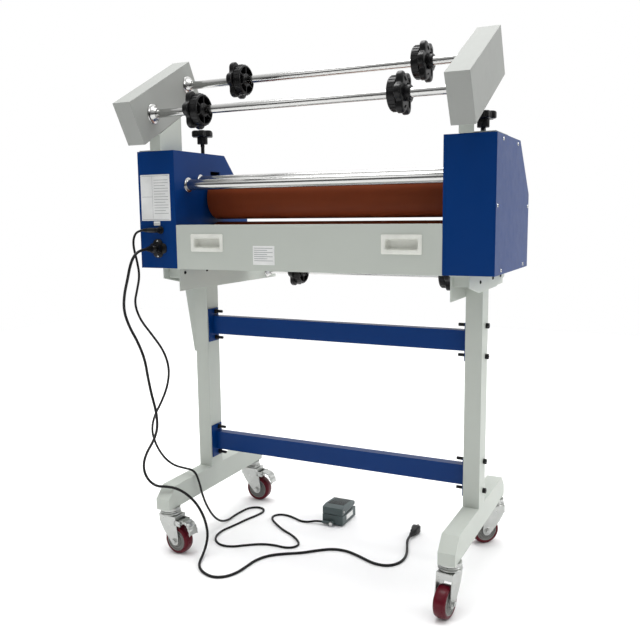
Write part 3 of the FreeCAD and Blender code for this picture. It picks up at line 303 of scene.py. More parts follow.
def star_solid(bm, centre, axis, radius, dip, layers, lobes=6):
    """A lobed grip whose layers are (along, inset) pairs, so its rim can be rounded."""
    place = Matrix.Translation(centre) @ basis(axis)
    steps_in_a_lobe = 14
    narrowing = 1.6  # above 1, the valleys are narrower than the lobes
    count = lobes * steps_in_a_lobe
    rings = []
    for along, inset in layers:
        ring = []
        for step in range(count):
            angle = 2 * math.pi * step / count
            valley = ((1 - math.cos(lobes * angle)) / 2) ** narrowing
            reach = radius - inset - dip * valley
            ring.append(bm.verts.new(place @ Vector(
                (reach * math.cos(angle), reach * math.sin(angle), along))))
        rings.append(ring)
    skin(bm, rings)


def slab(bm, low, high, material=0, place=Matrix()):
    """An axis-aligned box between two corners of its own frame."""
    corners = [bm.verts.new(place @ Vector((x, y, z)))
               for z in (low[2], high[2]) for y in (low[1], high[1]) for x in (low[0], high[0])]
    for loop in ((0, 2, 3, 1), (4, 5, 7, 6), (0, 1, 5, 4), (2, 6, 7, 3), (0, 4, 6, 2), (1, 3, 7, 5)):
        bm.faces.new([corners[index] for index in loop]).material_index = material


def rounded_loop(width, height, radius, depth, centre, out=TO_REAR):
    """A ring of points: an upright rectangle with round corners, at a depth along out."""
    steps = 5
    points = []
    for turn in range(4):
        corner = math.pi / 2 * turn
        side_x = 1 if turn in (0, 3) else -1
        side_y = 1 if turn in (0, 1) else -1
        for step in range(steps + 1):
            angle = corner + math.pi / 2 * step / steps
            x = side_x * (width / 2 - radius) + radius * math.cos(angle)
            y = side_y * (height / 2 - radius) + radius * math.sin(angle)
            points.append(centre + RIGHT * x + UP * y + out * depth)
    return points


def loops_to_skin(bm, loops):
    skin(bm, [[bm.verts.new(point) for point in loop] for loop in loops])


def open_bore(bm, rings):
    """Take the end caps off a lathed ring and join its ends along the bore."""
    caps = [face for face in bm.faces if len(face.verts) > 4]
    bmesh.ops.delete(bm, geom=caps, context="FACES_ONLY")
    skin(bm, [rings[-1], rings[0]], close_ends=False)


def joint_spot(name):
    return Vector(JOINTS[name]["pos_m"])


def cylinder_of(node):
    """Centre, radius and half length of a node that is round about X."""
    low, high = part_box(node)
    return (low + high) / 2, (high.z - low.z) / 2, (high.x - low.x) / 2


# ---------------------------------------------------------------- leads

PEDAL_ROUTE = [
    (-0.442, -0.2224, 0.854), (-0.462, -0.2224, 0.852), (-0.473, -0.225, 0.836),
    (-0.472, -0.229, 0.812), (-0.459, -0.232, 0.774), (-0.452, -0.233, 0.737),
    (-0.463, -0.232, 0.7), (-0.475, -0.231, 0.664), (-0.46, -0.23, 0.622),
    (-0.424, -0.229, 0.584), (-0.388, -0.227, 0.542), (-0.374, -0.225, 0.496),
    (-0.384, -0.223, 0.448), (-0.409, -0.219, 0.402), (-0.44, -0.214, 0.358),
    (-0.457, -0.206, 0.312), (-0.452, -0.192, 0.266), (-0.442, -0.174, 0.23),
    (-0.424, -0.156, 0.206), (-0.396, -0.146, 0.199), (-0.362, -0.148, 0.198),
    (-0.347, -0.149, 0.17), (-0.344, -0.14, 0.128), (-0.345, -0.118, 0.086),
    (-0.346, -0.088, 0.046), (-0.348, -0.05, 0.016), (-0.35, -0.008, 0.003),
    (-0.352, 0.036, 0.003), (-0.348, 0.076, 0.003), (-0.342, 0.1, 0.003), (-0.322, 0.116, 0.003),
    (-0.298, 0.112, 0.003), (-0.286, 0.09, 0.003), (-0.292, 0.056, 0.003), (-0.305, 0.014, 0.003),
    (-0.313, -0.032, 0.003), (-0.325, -0.074, 0.003), (-0.322, -0.112, 0.003),
    (-0.305, -0.142, 0.003), (-0.276, -0.16, 0.003), (-0.243, -0.156, 0.003),
    (-0.212, -0.13, 0.003), (-0.178, -0.106, 0.003), (-0.14, -0.098, 0.003),
    (-0.112, -0.101, 0.003), (-0.09, -0.092, 0.003), (-0.082, -0.07, 0.003),
    (-0.097, -0.048, 0.003), (-0.128, -0.022, 0.003), (-0.168, -0.002, 0.003),
    (-0.206, 0.026, 0.003), (-0.234, 0.05, 0.003), (-0.246, 0.074, 0.003), (-0.234, 0.094, 0.003),
    (-0.209, 0.098, 0.003), (-0.18, 0.088, 0.003), (-0.15, 0.074, 0.003), (-0.126, 0.079, 0.004),
    (-0.108, 0.0856, 0.008), (-0.088, 0.0856, 0.009),
]
POWER_ROUTE = [
    (-0.408, -0.2544, 0.807), (-0.408, -0.279, 0.806), (-0.41, -0.302, 0.794),
    (-0.413, -0.315, 0.77), (-0.421, -0.317, 0.736), (-0.437, -0.313, 0.698),
    (-0.447, -0.307, 0.656), (-0.438, -0.3, 0.614), (-0.415, -0.295, 0.573), (-0.4, -0.29, 0.529),
    (-0.397, -0.285, 0.483), (-0.391, -0.281, 0.437), (-0.381, -0.277, 0.392),
    (-0.383, -0.272, 0.347), (-0.402, -0.267, 0.31), (-0.426, -0.264, 0.278),
    (-0.442, -0.261, 0.248), (-0.445, -0.259, 0.219), (-0.433, -0.257, 0.195),
    (-0.41, -0.254, 0.181), (-0.382, -0.25, 0.183), (-0.354, -0.245, 0.182),
    (-0.327, -0.236, 0.168), (-0.305, -0.223, 0.14), (-0.294, -0.211, 0.106),
    (-0.289, -0.204, 0.076), (-0.286, -0.203, 0.048), (-0.283, -0.216, 0.025),
    (-0.278, -0.239, 0.0095), (-0.27, -0.266, 0.0035), (-0.253, -0.293, 0.0035),
    (-0.226, -0.314, 0.0035), (-0.192, -0.324, 0.0035), (-0.164, -0.31, 0.0035),
    (-0.149, -0.28, 0.0035), (-0.145, -0.24, 0.0035), (-0.143, -0.2, 0.0035),
    (-0.126, -0.162, 0.0035), (-0.092, -0.134, 0.0035), (-0.054, -0.112, 0.0035),
    (-0.022, -0.08, 0.0035), (0.012, -0.054, 0.0035), (0.052, -0.05, 0.0035),
    (0.098, -0.068, 0.0035), (0.144, -0.09, 0.0035), (0.184, -0.086, 0.0035),
    (0.205, -0.052, 0.0035), (0.203, -0.006, 0.0035), (0.19, 0.034, 0.007),
    (0.178, 0.066, 0.0115), (0.178, 0.0936, 0.0115),
]


def lead(name, route, diameter):
    """A smooth cord along its route."""
    data = bpy.data.curves.new(name, "CURVE")
    data.dimensions = "3D"
    data.bevel_depth = diameter / 2
    data.bevel_resolution = 5
    data.resolution_u = 10
    data.use_fill_caps = True
    spline = data.splines.new("NURBS")
    spline.points.add(len(route) - 1)
    for point, place in zip(spline.points, route):
        point.co = (*place, 1)
    spline.order_u = 3
    spline.use_endpoint_u = True
    data.materials.append(RUBBER)
    obj = bpy.data.objects.new(name, data)
    bpy.context.scene.collection.objects.link(obj)
    return obj


pedal_lead = lead("pedal_lead", PEDAL_ROUTE, 0.006)
power_lead = lead("power_lead", POWER_ROUTE, 0.007)


# ---------------------------------------------------------------- sheet metal and tubes

FINE_EDGE = 0.0005
SHEET_EDGE = 0.0012
BOX_EDGE = 0.0022


def painted_parts():
    """Sheet metal, tubes and machined parts keep the CAD shape, with eased edges."""
    for node in ("left_leg", "right_leg", "left_leg_bracket", "right_leg_bracket", "rear_panel",
                 "feed_board", "arm_brackets"):
        cad_copy(node, LIGHT_GREY, SHEET_EDGE)
    cad_copy("arm_boxes", BOX_GREY, BOX_EDGE)
    for node in ("upper_crossbar", "lower_crossbar", "side_frames", "end_covers"):
        cad_copy(node, BLUE, 0.0007)
    for node in ("left_housing_shell", "right_housing_shell"):
        cad_copy(node, BLUE, SHEET_EDGE)
    cad_copy("stand_screws", BLACK_OXIDE_AND_RECESS_SHADE, 0.0006)
    cad_copy("drive_motor", BLACK_OXIDE_AND_RECESS_SHADE, 0.0008)
    for node, metal in (("motor_pinion", STEEL), ("roller_gear", STEEL), ("bearing_blocks", ZINC),
                        ("lower_roller_core", STEEL), ("upper_roller_core", STEEL),
                        ("caster_stems", ZINC)):
        cad_copy(node, metal, FINE_EDGE)


painted_parts()


def film_shaft(node):
    """A shaft that is one cylinder, turned again with eased ends."""
    centre, radius, half = cylinder_of(node)
    ease = 0.0015
    bm = bmesh.new()
    lathe(bm, centre, RIGHT, [(-half, radius - ease), (-half + ease * 0.3, radius - ease * 0.3),
                              (-half + ease, radius), (half - ease, radius),
                              (half - ease * 0.3, radius - ease * 0.3), (half, radius - ease)], 96)
    return finish_node(node, bm, [CHROME])


for shaft in ("front_film_shaft", "rear_film_shaft", "lower_film_shaft"):
    film_shaft(shaft)


def sleeve(node):
    """A roller's silicone skin: slightly rounded ends and an open bore."""
    centre, outer, half = cylinder_of(node)
    wall = 0.0079
    ease = 0.003
    inner = outer - wall
    bm = bmesh.new()
    profile = [(-half, inner), (-half, outer - ease), (-half + ease / 3, outer - ease / 3),
               (-half + ease, outer), (half - ease, outer), (half - ease / 3, outer - ease / 3),
               (half, outer - ease), (half, inner)]
    open_bore(bm, lathe(bm, centre, RIGHT, profile, 128))
    return finish_node(node, bm, [SILICONE])


sleeve("lower_roller_sleeve")
sleeve("upper_roller_sleeve")


def guide(node):
    """A polished tube with its narrower journals."""
    centre, radius, half = cylinder_of(node)
    journal = 0.006
    journal_length = 0.0085
    ease = 0.002
    body = half - journal_length
    bm = bmesh.new()
    lathe(bm, centre, RIGHT, [(-half, journal), (-body, journal), (-body, radius - ease),
                              (-body + ease, radius), (body - ease, radius),
                              (body, radius - ease), (body, journal), (half, journal)], 96)
    return finish_node(node, bm, [CHROME])


guide("front_guide_roller")
guide("rear_guide_roller")


# ---------------------------------------------------------------- bushes

SHAFT_BORE = 0.01005
JOURNAL_BORE = 0.00605
HOUSING_FACE = 0.35  # from the middle to the inner face of each housing
ARM_FACE = 0.3844
BRACKET_FACE = 0.361

# Each pair of bushes: its shaft's joint, bore radius, wall face, flange radius, and if it has a nose.
BUSH_PAIRS = [
    ("front_shaft_spin", SHAFT_BORE, ARM_FACE, 0.024, True),
    ("rear_shaft_spin", SHAFT_BORE, ARM_FACE, 0.024, True),
    ("lower_shaft_spin", SHAFT_BORE, BRACKET_FACE, 0.020, True),
    ("lower_roller_spin", SHAFT_BORE, HOUSING_FACE, 0.022, False),
    ("front_guide_spin", JOURNAL_BORE, HOUSING_FACE, 0.019, False),
    ("rear_guide_spin", JOURNAL_BORE, HOUSING_FACE, 0.015, False),
]


def bushes():
    """Plated collars: a rounded flange on the wall that sweeps into a nose round the shaft."""
    bm = bmesh.new()
    for joint, bore, face, flange, has_nose in BUSH_PAIRS:
        spot = joint_spot(joint)
        lip = bore + 0.0035
        profile = [(-0.0035, bore), (-0.0035, flange - 0.004), (0, flange - 0.0006), (0.0012, flange),
                   (0.0024, flange - 0.0012), (0.0030, flange - 0.0045)]
        if has_nose:
            profile += [(0.0048, bore + 0.0068), (0.0085, bore + 0.0048), (0.012, lip),
                        (0.013, lip - 0.0012), (0.013, bore)]
        else:
            profile += [(0.003, bore)]
        for side in (-1, 1):
            open_bore(bm, lathe(bm, (side * face, spot.y, spot.z), (-side, 0, 0), profile, 64))
    return new_piece("bushes_finished", bm, [CHROME], "machine", ["flanged_bushes"])


bushes()


# ---------------------------------------------------------------- core chucks

CHUCK_OUTWARD = 0.027  # from the plug's flange to the outer end of the hub
CHUCK_EDGE = 0.0003
CHUCK_RIBS = 24
CHUCK_SPOKES = 6


def core_chuck(bm, x, spot):
    """A ribbed plug that grips the core's bore, spoked inside, with a star grip outside it."""
    side = 1 if x > 0 else -1
    centre = Vector((x, spot.y, spot.z))
    inward = (-side, 0, 0)
    outward = (side, 0, 0)
    shaft_radius = 0.0103
    outer = 0.0368
    rib_top = 0.0379
    rim = [(-0.001, outer - 0.001), (-0.0002, outer), (0.0155, outer), (0.0175, outer - 0.0016),
           (0.018, outer - 0.0035), (0.018, outer - 0.0048), (0.003, outer - 0.0048)]
    lathe(bm, centre, inward, rim, 72)
    place = Matrix.Translation(centre) @ basis(inward)
    for rib in range(CHUCK_RIBS):
        turn = Matrix.Rotation(2 * math.pi * rib / CHUCK_RIBS, 4, "Z")
        slab(bm, (outer - 0.0005, -0.0011, 0.0005), (rib_top, 0.0011, 0.0150), place=place @ turn)
    for spoke in range(CHUCK_SPOKES):
        turn = Matrix.Rotation(2 * math.pi * (spoke + 0.5) / CHUCK_SPOKES, 4, "Z")
        slab(bm, (0.0155, -0.0014, 0.002), (outer - 0.004, 0.0014, 0.0165), place=place @ turn)
    lathe(bm, centre, inward, [(-0.002, shaft_radius), (-0.002, 0.0172), (0.0165, 0.0166),
                               (0.0182, 0.0155), (0.0185, shaft_radius)], 48)
    layers = [(0.0, 0.004), (0.0006, 0.0016), (0.002, 0.0), (0.011, 0.0), (0.0134, 0.0014),
              (0.0146, 0.0044), (0.0150, 0.0110), (0.0128, 0.0130)]
    star_solid(bm, centre + Vector((side * 0.0015, 0, 0)), outward, 0.047, 0.010, layers)
    lathe(bm, centre, outward, [(0.012, 0.0175), (0.0255, 0.0165), (CHUCK_OUTWARD, 0.015),
                                (CHUCK_OUTWARD, shaft_radius)], 48)
    clamp_screw = centre + Vector((side * 0.0205, 0, 0.0150))
    lathe(bm, clamp_screw, UP, [(0, 0.004), (0.0045, 0.004), (0.005, 0.003)], 16)


def chucks():
    """Four chucks that slide on the upper shafts, and a pair that stays on the lower one."""
    for shaft in ("front", "rear"):
        for hand in ("left", "right"):
            node = shaft + "_" + hand + "_chuck"
            low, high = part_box(node)
            seat = low.x + CHUCK_OUTWARD if hand == "left" else high.x - CHUCK_OUTWARD
            bm = bmesh.new()
            core_chuck(bm, seat, joint_spot(shaft + "_shaft_spin"))
            finish_node(node, bm, [BLACK], CHUCK_EDGE)
    low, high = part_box("lower_chucks")
    bm = bmesh.new()
    for seat in (low.x + CHUCK_OUTWARD, high.x - CHUCK_OUTWARD):
        core_chuck(bm, seat, joint_spot("lower_shaft_spin"))
    finish_node("lower_chucks", bm, [BLACK], CHUCK_EDGE)


chucks()


# ---------------------------------------------------------------- pressure knobs

def pressure_knob(side):
    """A star knob moulded on a hub, over its lock nut and steel screw, with a grub screw in the hub."""
    node = side + "_pressure_screw"
    low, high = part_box(node)
    spot = joint_spot(side + "_knob_spin")
    star_height = 0.018
    screw_radius = 0.005
    centre = Vector((spot.x, spot.y, high.z - star_height))
    screw_length = centre.z - low.z - 0.016
    bm = bmesh.new()
    layers = [(0.0, 0.006), (0.0004, 0.002), (0.002, 0.0), (0.0135, 0.0), (0.0165, 0.0016),
              (0.0178, 0.005), (star_height, 0.011)]
    star_solid(bm, centre, UP, 0.030, 0.0065, layers)
    hub = [(-0.019, 0.0105), (-0.0185, 0.0135), (-0.017, 0.0142), (0.001, 0.0142)]
    lathe(bm, centre, UP, hub, 48)
    lock_nut = [(-0.017, screw_radius), (-0.022, 0.0062), (-0.026, 0.0062), (-0.0265, screw_radius)]
    lathe(bm, centre, UP, lock_nut, 6, 1)
    lathe(bm, Vector((spot.x, spot.y, low.z)), UP,
          [(0, 0.004), (0.001, screw_radius), (screw_length, screw_radius)], 32, 1)
    grub_screw = [(0, 0.0028), (0.0015, 0.0028), (0.002, 0.002)]
    lathe(bm, centre + Vector((0, -0.0135, -0.009)), TO_REAR, grub_screw, 12, 1)
    return finish_node(node, bm, [BLACK, BLACK_OXIDE_AND_RECESS_SHADE])


pressure_knob("left")
pressure_knob("right")


# ---------------------------------------------------------------- casters

AXLE_HEIGHT = 0.0375
CHEEK_THICKNESS = 0.0025
FORK_EDGE = 0.0006
BRAKE_PIN = (0.044, 0, 0.086)


def caster_frame(corner):
    """Local frame of a caster: origin on the floor under its swivel, X the way it trails."""
    swivel = joint_spot(corner + "_swivel")
    wheel = joint_spot(corner + "_roll")
    trail = Vector((wheel.x - swivel.x, wheel.y - swivel.y, 0))
    heading = math.atan2(trail.y, trail.x)
    return Matrix.Translation((swivel.x, swivel.y, 0)) @ Matrix.Rotation(heading, 4, "Z"), trail.length


def cheek_outline():
    """One cheek from its top rear corner round the axle's boss to its top front corner."""
    trail = 0.028
    boss = 0.0125
    steps = 8
    points = [(-0.0235, 0.1035), (-0.0225, 0.092), (-0.0185, 0.079), (-0.009, 0.063), (0.004, 0.047)]
    for step in range(steps + 1):
        angle = math.radians(205 + 150 * step / steps)
        points.append((trail + boss * math.cos(angle), AXLE_HEIGHT + boss * math.sin(angle)))
    points += [(0.041, 0.046), (0.0395, 0.060), (0.0365, 0.076), (0.0335, 0.088), (0.0325, 0.1035)]
    return points


def caster_fork(corner):
    """A pressed yoke under two rings of a ball race, with a flanged axle bolt and its nut."""
    place, trail = caster_frame(corner)
    bm = bmesh.new()
    outline = cheek_outline()
    for start in (-0.0200, 0.0175):
        inner = [bm.verts.new(place @ Vector((x, start, z))) for x, z in outline]
        outer = [bm.verts.new(place @ Vector((x, start + CHEEK_THICKNESS, z))) for x, z in outline]
        skin(bm, [inner, outer])
    slab(bm, (-0.0235, -0.02, 0.1015), (0.0325, 0.02, 0.104), place=place)
    slab(bm, (-0.0238, -0.0190, 0.0830), (-0.0216, 0.0190, 0.1030), place=place)
    slab(bm, (0.0310, -0.0190, 0.0880), (0.0330, 0.0190, 0.1030), place=place)
    swivel = place @ Vector((0, 0, 0))
    race = [(0.1035, 0.0240), (0.1045, 0.0272), (0.1065, 0.0284), (0.1085, 0.0272), (0.1092, 0.0246),
            (0.1102, 0.0246), (0.1112, 0.0264), (0.1128, 0.0270), (0.1142, 0.0256), (0.1146, 0.0200)]
    lathe(bm, swivel, UP, race, 64)
    axle = place @ Vector((trail, 0, AXLE_HEIGHT))
    across = place.to_3x3() @ TO_FRONT
    washer = [(0.0195, 0.0082), (0.0212, 0.0082), (0.0216, 0.0074)]
    nut = [(0.0210, 0.0064), (0.0248, 0.0064), (0.0252, 0.0056)]
    for way in (-1, 1):
        lathe(bm, axle, across * way, washer, 32)
        lathe(bm, axle, across * way, nut, 6)
    lathe(bm, axle, across, [(-0.02, 0.0039), (0.02, 0.0039)], 24)
    if "left" in corner:
        slab(bm, (0.028, -0.0200, 0.080), (0.049, -0.0176, 0.094), place=place)
        slab(bm, (0.028, 0.0176, 0.080), (0.049, 0.0200, 0.094), place=place)
        pin = [(-0.0215, 0.003), (-0.02, 0.0042), (0.02, 0.0042), (0.0215, 0.003)]
        lathe(bm, place @ Vector(BRAKE_PIN), across, pin, 24)
    return finish_node(corner + "_caster_fork", bm, [ZINC], FORK_EDGE)


def caster_wheel(corner):
    """Maroon tread with rounded shoulders on a grey rim, dished, with a plated bearing cap."""
    place, trail = caster_frame(corner)
    axle = place @ Vector((trail, 0, AXLE_HEIGHT))
    across = place.to_3x3() @ TO_FRONT
    bm = bmesh.new()
    half_tread = [(0.0040, AXLE_HEIGHT), (0.0095, 0.0370), (0.0130, 0.0355), (0.0147, 0.0328),
                  (0.0148, 0.0300), (0.0138, 0.0285), (0.0090, 0.0280)]
    tread = [(-along, radius) for along, radius in reversed(half_tread)] + half_tread
    lathe(bm, axle, across, tread, 96)
    rim = [(0.0080, 0.0286), (0.0142, 0.0284), (0.0145, 0.0272), (0.0138, 0.0262), (0.0118, 0.0252),
           (0.0110, 0.0228), (0.0122, 0.0216), (0.0128, 0.0198), (0.0112, 0.0182), (0.0108, 0.0160),
           (0.0136, 0.0146), (0.0142, 0.0132), (0.0142, 0.0085)]
    cap = [(0.0138, 0.0116), (0.0150, 0.0112), (0.0152, 0.0090), (0.0166, 0.0084), (0.0168, 0.0045)]
    for way in (-1, 1):
        lathe(bm, axle, across * way, rim, 72, 1)
        lathe(bm, axle, across * way, cap, 48, 2)
    return finish_node(corner + "_caster_wheel", bm, [POLYURETHANE, RIM, ZINC])


def caster_brake(corner):
    """A pressed foot lever, ribbed across and turned down at its tip."""
    place, _ = caster_frame(corner)
    bm = bmesh.new()
    half_width = 0.0155
    flat = 0.0135
    ridge = 0.086
    top = [(0.0385, 0.0925), (0.046, 0.0950), (0.052, 0.0948), (0.056, 0.0930), (0.060, 0.0938),
           (0.064, 0.0905), (0.068, 0.0900), (0.071, 0.0850), (0.0745, 0.0820), (0.0750, 0.0770),
           (0.0785, 0.0720), (0.0782, 0.0660), (0.0800, 0.0610)]
    under = [(x - 0.0030, z - 0.0018) if z < ridge else (x - 0.0008, z - 0.0026) for x, z in reversed(top)]
    sections = []
    for across, drop in ((-half_width, 0.0020), (-flat, 0.0), (flat, 0.0), (half_width, 0.0020)):
        sections.append([bm.verts.new(place @ Vector((x, across, z - drop))) for x, z in top + under])
    skin(bm, sections)
    along = place.to_3x3() @ TO_FRONT
    lathe(bm, place @ Vector(BRAKE_PIN), along, [(-half_width, 0.0058), (half_width, 0.0058)], 32)
    slab(bm, (0.0395, -half_width, 0.0855), (0.0485, half_width, 0.0925), place=place)
    return finish_node(corner + "_caster_brake", bm, [ZINC], FINE_EDGE)


for corner in ("left_front", "left_rear", "right_front", "right_rear"):
    caster_fork(corner)
    caster_wheel(corner)
    if "left" in corner:
        caster_brake(corner)


# ---------------------------------------------------------------- panel handles, screws, labels

def handles():
    """Recessed pulls with a rounded bezel and a deep finger pocket."""
    low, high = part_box("panel_handles")
    width = 0.096
    height = high.z - low.z
    bezel = 0.003
    # From the back of the tub, out round the bezel and into the pocket: inset, depth, corner radius.
    section = [(0.0120, -0.0180, 0.003), (0.0085, -0.0175, 0.003), (0.0080, -0.0002, 0.003),
               (0.0003, 0.0, 0.003), (0.0, 0.0006, 0.003), (0.0004, 0.0020, 0.003),
               (0.0018, bezel, 0.003), (0.0072, bezel, 0.0035), (0.0090, 0.0024, 0.004),
               (0.0098, 0.0008, 0.005), (0.0108, -0.0060, 0.006), (0.0122, -0.0135, 0.006),
               (0.0150, -0.0158, 0.006)]
    bm = bmesh.new()
    for x in (low.x + width / 2, high.x - width / 2):
        centre = Vector((x, low.y + bezel, (low.z + high.z) / 2))
        loops_to_skin(bm, [rounded_loop(width - 2 * inset, height - 2 * inset, radius, depth, centre)
                           for inset, depth, radius in section])
    return finish_node("panel_handles", bm, [WHITE])


handles()


def pan_head(bm, centre, axis, radius, height, material=0):
    """A domed screw head with a dark cross on it, which is painted shade standing for its cross recess."""
    lathe(bm, centre, axis, [(0, radius), (height * 0.45, radius * 0.97), (height * 0.8, radius * 0.74),
                             (height, radius * 0.4)], 32, material)
    place = Matrix.Translation(centre) @ basis(axis)
    length = radius * 0.45
    width = radius * 0.09
    # The cross is painted shade: a thin slab in the second material, laid on the dome where a shaded recess would
    # be.
    for degrees in (20, 110):
        slab(bm, (-length, -width, height * 0.9), (length, width, height * 1.02),
             1, place @ Matrix.Rotation(math.radians(degrees), 4, "Z"))


def cover_screws():
    """Six plated screws round the edge of each end cover."""
    low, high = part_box("end_covers")
    head_radius = 0.004
    head_height = 0.002
    from_top = 0.010
    from_bottom = 0.009
    middle_height = 0.904
    y0 = low.y + 0.185
    spots = [(y0 - 0.128, high.z - from_top), (y0 + 0.020, high.z - from_top),
             (y0 - 0.172, middle_height), (y0 + 0.150, middle_height),
             (y0 - 0.128, low.z + from_bottom), (y0 + 0.108, low.z + from_bottom)]
    bm = bmesh.new()
    for face, way in ((low.x, -1), (high.x, 1)):
        for y, z in spots:
            pan_head(bm, (face, y, z), (way, 0, 0), head_radius, head_height)
    # The second material is the dark cross on each chrome head: painted shade for its recess.
    return finish_node("cover_screws", bm, [CHROME, BLACK_OXIDE_AND_RECESS_SHADE])


cover_screws()


def bracket_screws():
    """Black screws on both faces of each leg's bracket, seen under the housings."""
    head_radius = 0.0042
    head_height = 0.0030
    bm = bmesh.new()
    for node, way in (("left_leg_bracket", -1), ("right_leg_bracket", 1)):
        low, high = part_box(node)
        outer = low.x if way < 0 else high.x
        inner = high.x if way < 0 else low.x
        for y in (-0.10, 0.02, 0.10):
            pan_head(bm, (outer, y, 0.734), (way, 0, 0), head_radius, head_height)
        for y in (-0.16, -0.06, 0.10):
            pan_head(bm, (inner, y, 0.742), (-way, 0, 0), head_radius, head_height)
    return new_piece("bracket_screws", bm, [BLACK_OXIDE_AND_RECESS_SHADE, BLACK_OXIDE_AND_RECESS_SHADE], "machine")


bracket_screws()


def label(name, low_x, high_x, low_z, high_z, y, lines):
    """A blank foil plate with a border and a few plain rules."""
    bm = bmesh.new()
    centre = Vector(((low_x + high_x) / 2, y, (low_z + high_z) / 2))
    width = high_x - low_x
    height = high_z - low_z
    corner = 0.0015
    loops_to_skin(bm, [rounded_loop(width - narrower, height - narrower, corner, depth, centre)
                       for narrower, depth in ((0, 0), (0, 0.0003), (0.0006, 0.0005))])
    for left, right, level, thick in lines:
        slab(bm, (low_x + left * width, y - 0.0007, low_z + level * height - thick / 2),
             (low_x + right * width, y - 0.0004, low_z + level * height + thick / 2), 1)
    return new_piece(name, bm, [PAPER, INK], "machine")


def labels():
    """A tall label and a small tag by the sockets, and a plate on the rear panel."""
    shell_low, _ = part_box("left_housing_shell")
    panel_low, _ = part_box("rear_panel")
    rules = [(0.04, 0.96, 0.97, 0.0008), (0.04, 0.96, 0.03, 0.0008), (0.40, 0.405, 0.5, 0.105),
             (0.04, 0.40, 0.52, 0.0008)]
    rules += [(0.46, 0.94 - 0.1 * (row % 3 == 2), 0.88 - 0.06 * row, 0.0011) for row in range(13)]
    label("housing_label", -0.457, -0.365, 0.878, 0.995, shell_low.y, rules)
    label("socket_tag", -0.419, -0.399, 0.8655, 0.8765, shell_low.y, [(0.1, 0.9, 0.5, 0.0008)])
    rows = [(0.06, 0.92 - 0.25 * (row % 2), 0.88 - 0.11 * row, 0.0012) for row in range(7)]
    label("panel_label", -0.124, -0.064, 0.770, 0.816, panel_low.y, rows)


labels()


# ---------------------------------------------------------------- sockets and plugs

def sockets():
    """Black mains inlet on a flange with two plated screws, and a round socket above."""
    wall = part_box("rear_sockets")[0].y + 0.004
    mains = Vector((-0.408, wall, 0.807))
    pedal = Vector((-0.398, wall, 0.854))
    flange_thickness = 0.0032
    screw_spacing = 0.038
    bm = bmesh.new()
    loops_to_skin(bm, [rounded_loop(0.030 - 2 * inset, 0.048 - 2 * inset, 0.012, depth, mains)
                       for inset, depth in ((0, 0), (0, 0.0022), (0.0012, flange_thickness))])
    loops_to_skin(bm, [rounded_loop(0.054 - 2 * inset, 0.026 - 2 * inset, 0.010, depth, mains)
                       for inset, depth in ((0, 0), (0, 0.0020), (0.0012, 0.0030))])
    lathe(bm, mains, TO_FRONT, [(0, 0.0138), (0.0235, 0.0138), (0.024, 0.013)], 48)
    for way in (-1, 1):
        head = mains + Vector((0, -flange_thickness, way * screw_spacing / 2))
        pan_head(bm, head, TO_REAR, 0.0030, 0.0014, 1)
    lathe(bm, pedal, TO_REAR, [(0, 0.0100), (0.0024, 0.0100), (0.0032, 0.0090), (0.0040, 0.0086)], 12)
    lathe(bm, pedal, TO_FRONT, [(0, 0.0078), (0.014, 0.0076)], 32)
    return finish_node("rear_sockets", bm, [BLACK, CHROME])


sockets()


def ribbed_guard(bm, tip, axis, length, thin, thick, ribs=6):
    """A tapered strain relief cut into rings."""
    profile = [(0, thin)]
    for rib in range(ribs):
        start = length * (rib + 0.1) / ribs
        width = length / ribs
        radius = thin + (thick - thin) * (rib + 0.6) / ribs
        profile += [(start, radius), (start + width * 0.55, radius), (start + width * 0.6, radius * 0.82),
                    (start + width * 0.88, radius * 0.82)]
    profile.append((length, thick))
    lathe(bm, tip, axis, profile, 32)


def inlet_plug():
    """A waisted appliance plug with finger grips."""
    low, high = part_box("inlet_plug")
    x = (low.x + high.x) / 2
    z = (low.z + high.z) / 2
    width = 0.028
    height = 0.022
    grip = 0.0139
    pitch = 0.0028
    # Depth from the inlet, inset and corner radius.
    sections = [(0, 0.0008, 0.004), (0.0008, 0, 0.004), (0.009, 0.0, 0.005), (0.012, 0.0012, 0.006),
                (0.021, 0.0016, 0.007), (0.0245, 0.0030, 0.007), (0.0275, 0.0055, 0.005),
                (0.028, 0.0065, 0.004)]
    bm = bmesh.new()
    centre = Vector((x, high.y, z))
    loops_to_skin(bm, [rounded_loop(width - 2 * inset, height - 2 * inset, radius, depth, centre)
                       for depth, inset, radius in sections])
    for rib in range(4):
        slab(bm, (x - grip, high.y - 0.0125 - pitch * rib, z - 0.006),
             (x + grip, high.y - 0.0112 - pitch * rib, z + 0.006))
    ribbed_guard(bm, Vector((x, low.y, z)), TO_FRONT, 0.0165, 0.0042, 0.0088, 5)
    return finish_node("inlet_plug", bm, [BLACK])


def pedal_plug():
    """A right-angled round plug with a collar and a ribbed guard."""
    low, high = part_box("pedal_plug")
    bm = bmesh.new()
    x = high.x - 0.007
    z = (low.z + high.z) / 2
    barrel_y = high.y - 0.011
    collar = [(0, 0.0066), (0.0008, 0.0070), (0.0060, 0.0070), (0.0068, 0.0062), (0.0150, 0.0062),
              (0.0175, 0.0050), (0.0180, 0.0030)]
    barrel = [(0, 0.0050), (0.002, 0.0062), (0.012, 0.0065), (0.030, 0.0062), (0.032, 0.0054)]
    lathe(bm, Vector((x, high.y, z)), TO_REAR, collar, 40)
    lathe(bm, Vector((x + 0.002, barrel_y, z)), -RIGHT, barrel, 40)
    ribbed_guard(bm, Vector((low.x, barrel_y, z)), RIGHT, 0.0145, 0.0038, 0.0058, 5)
    return finish_node("pedal_plug", bm, [BLACK])


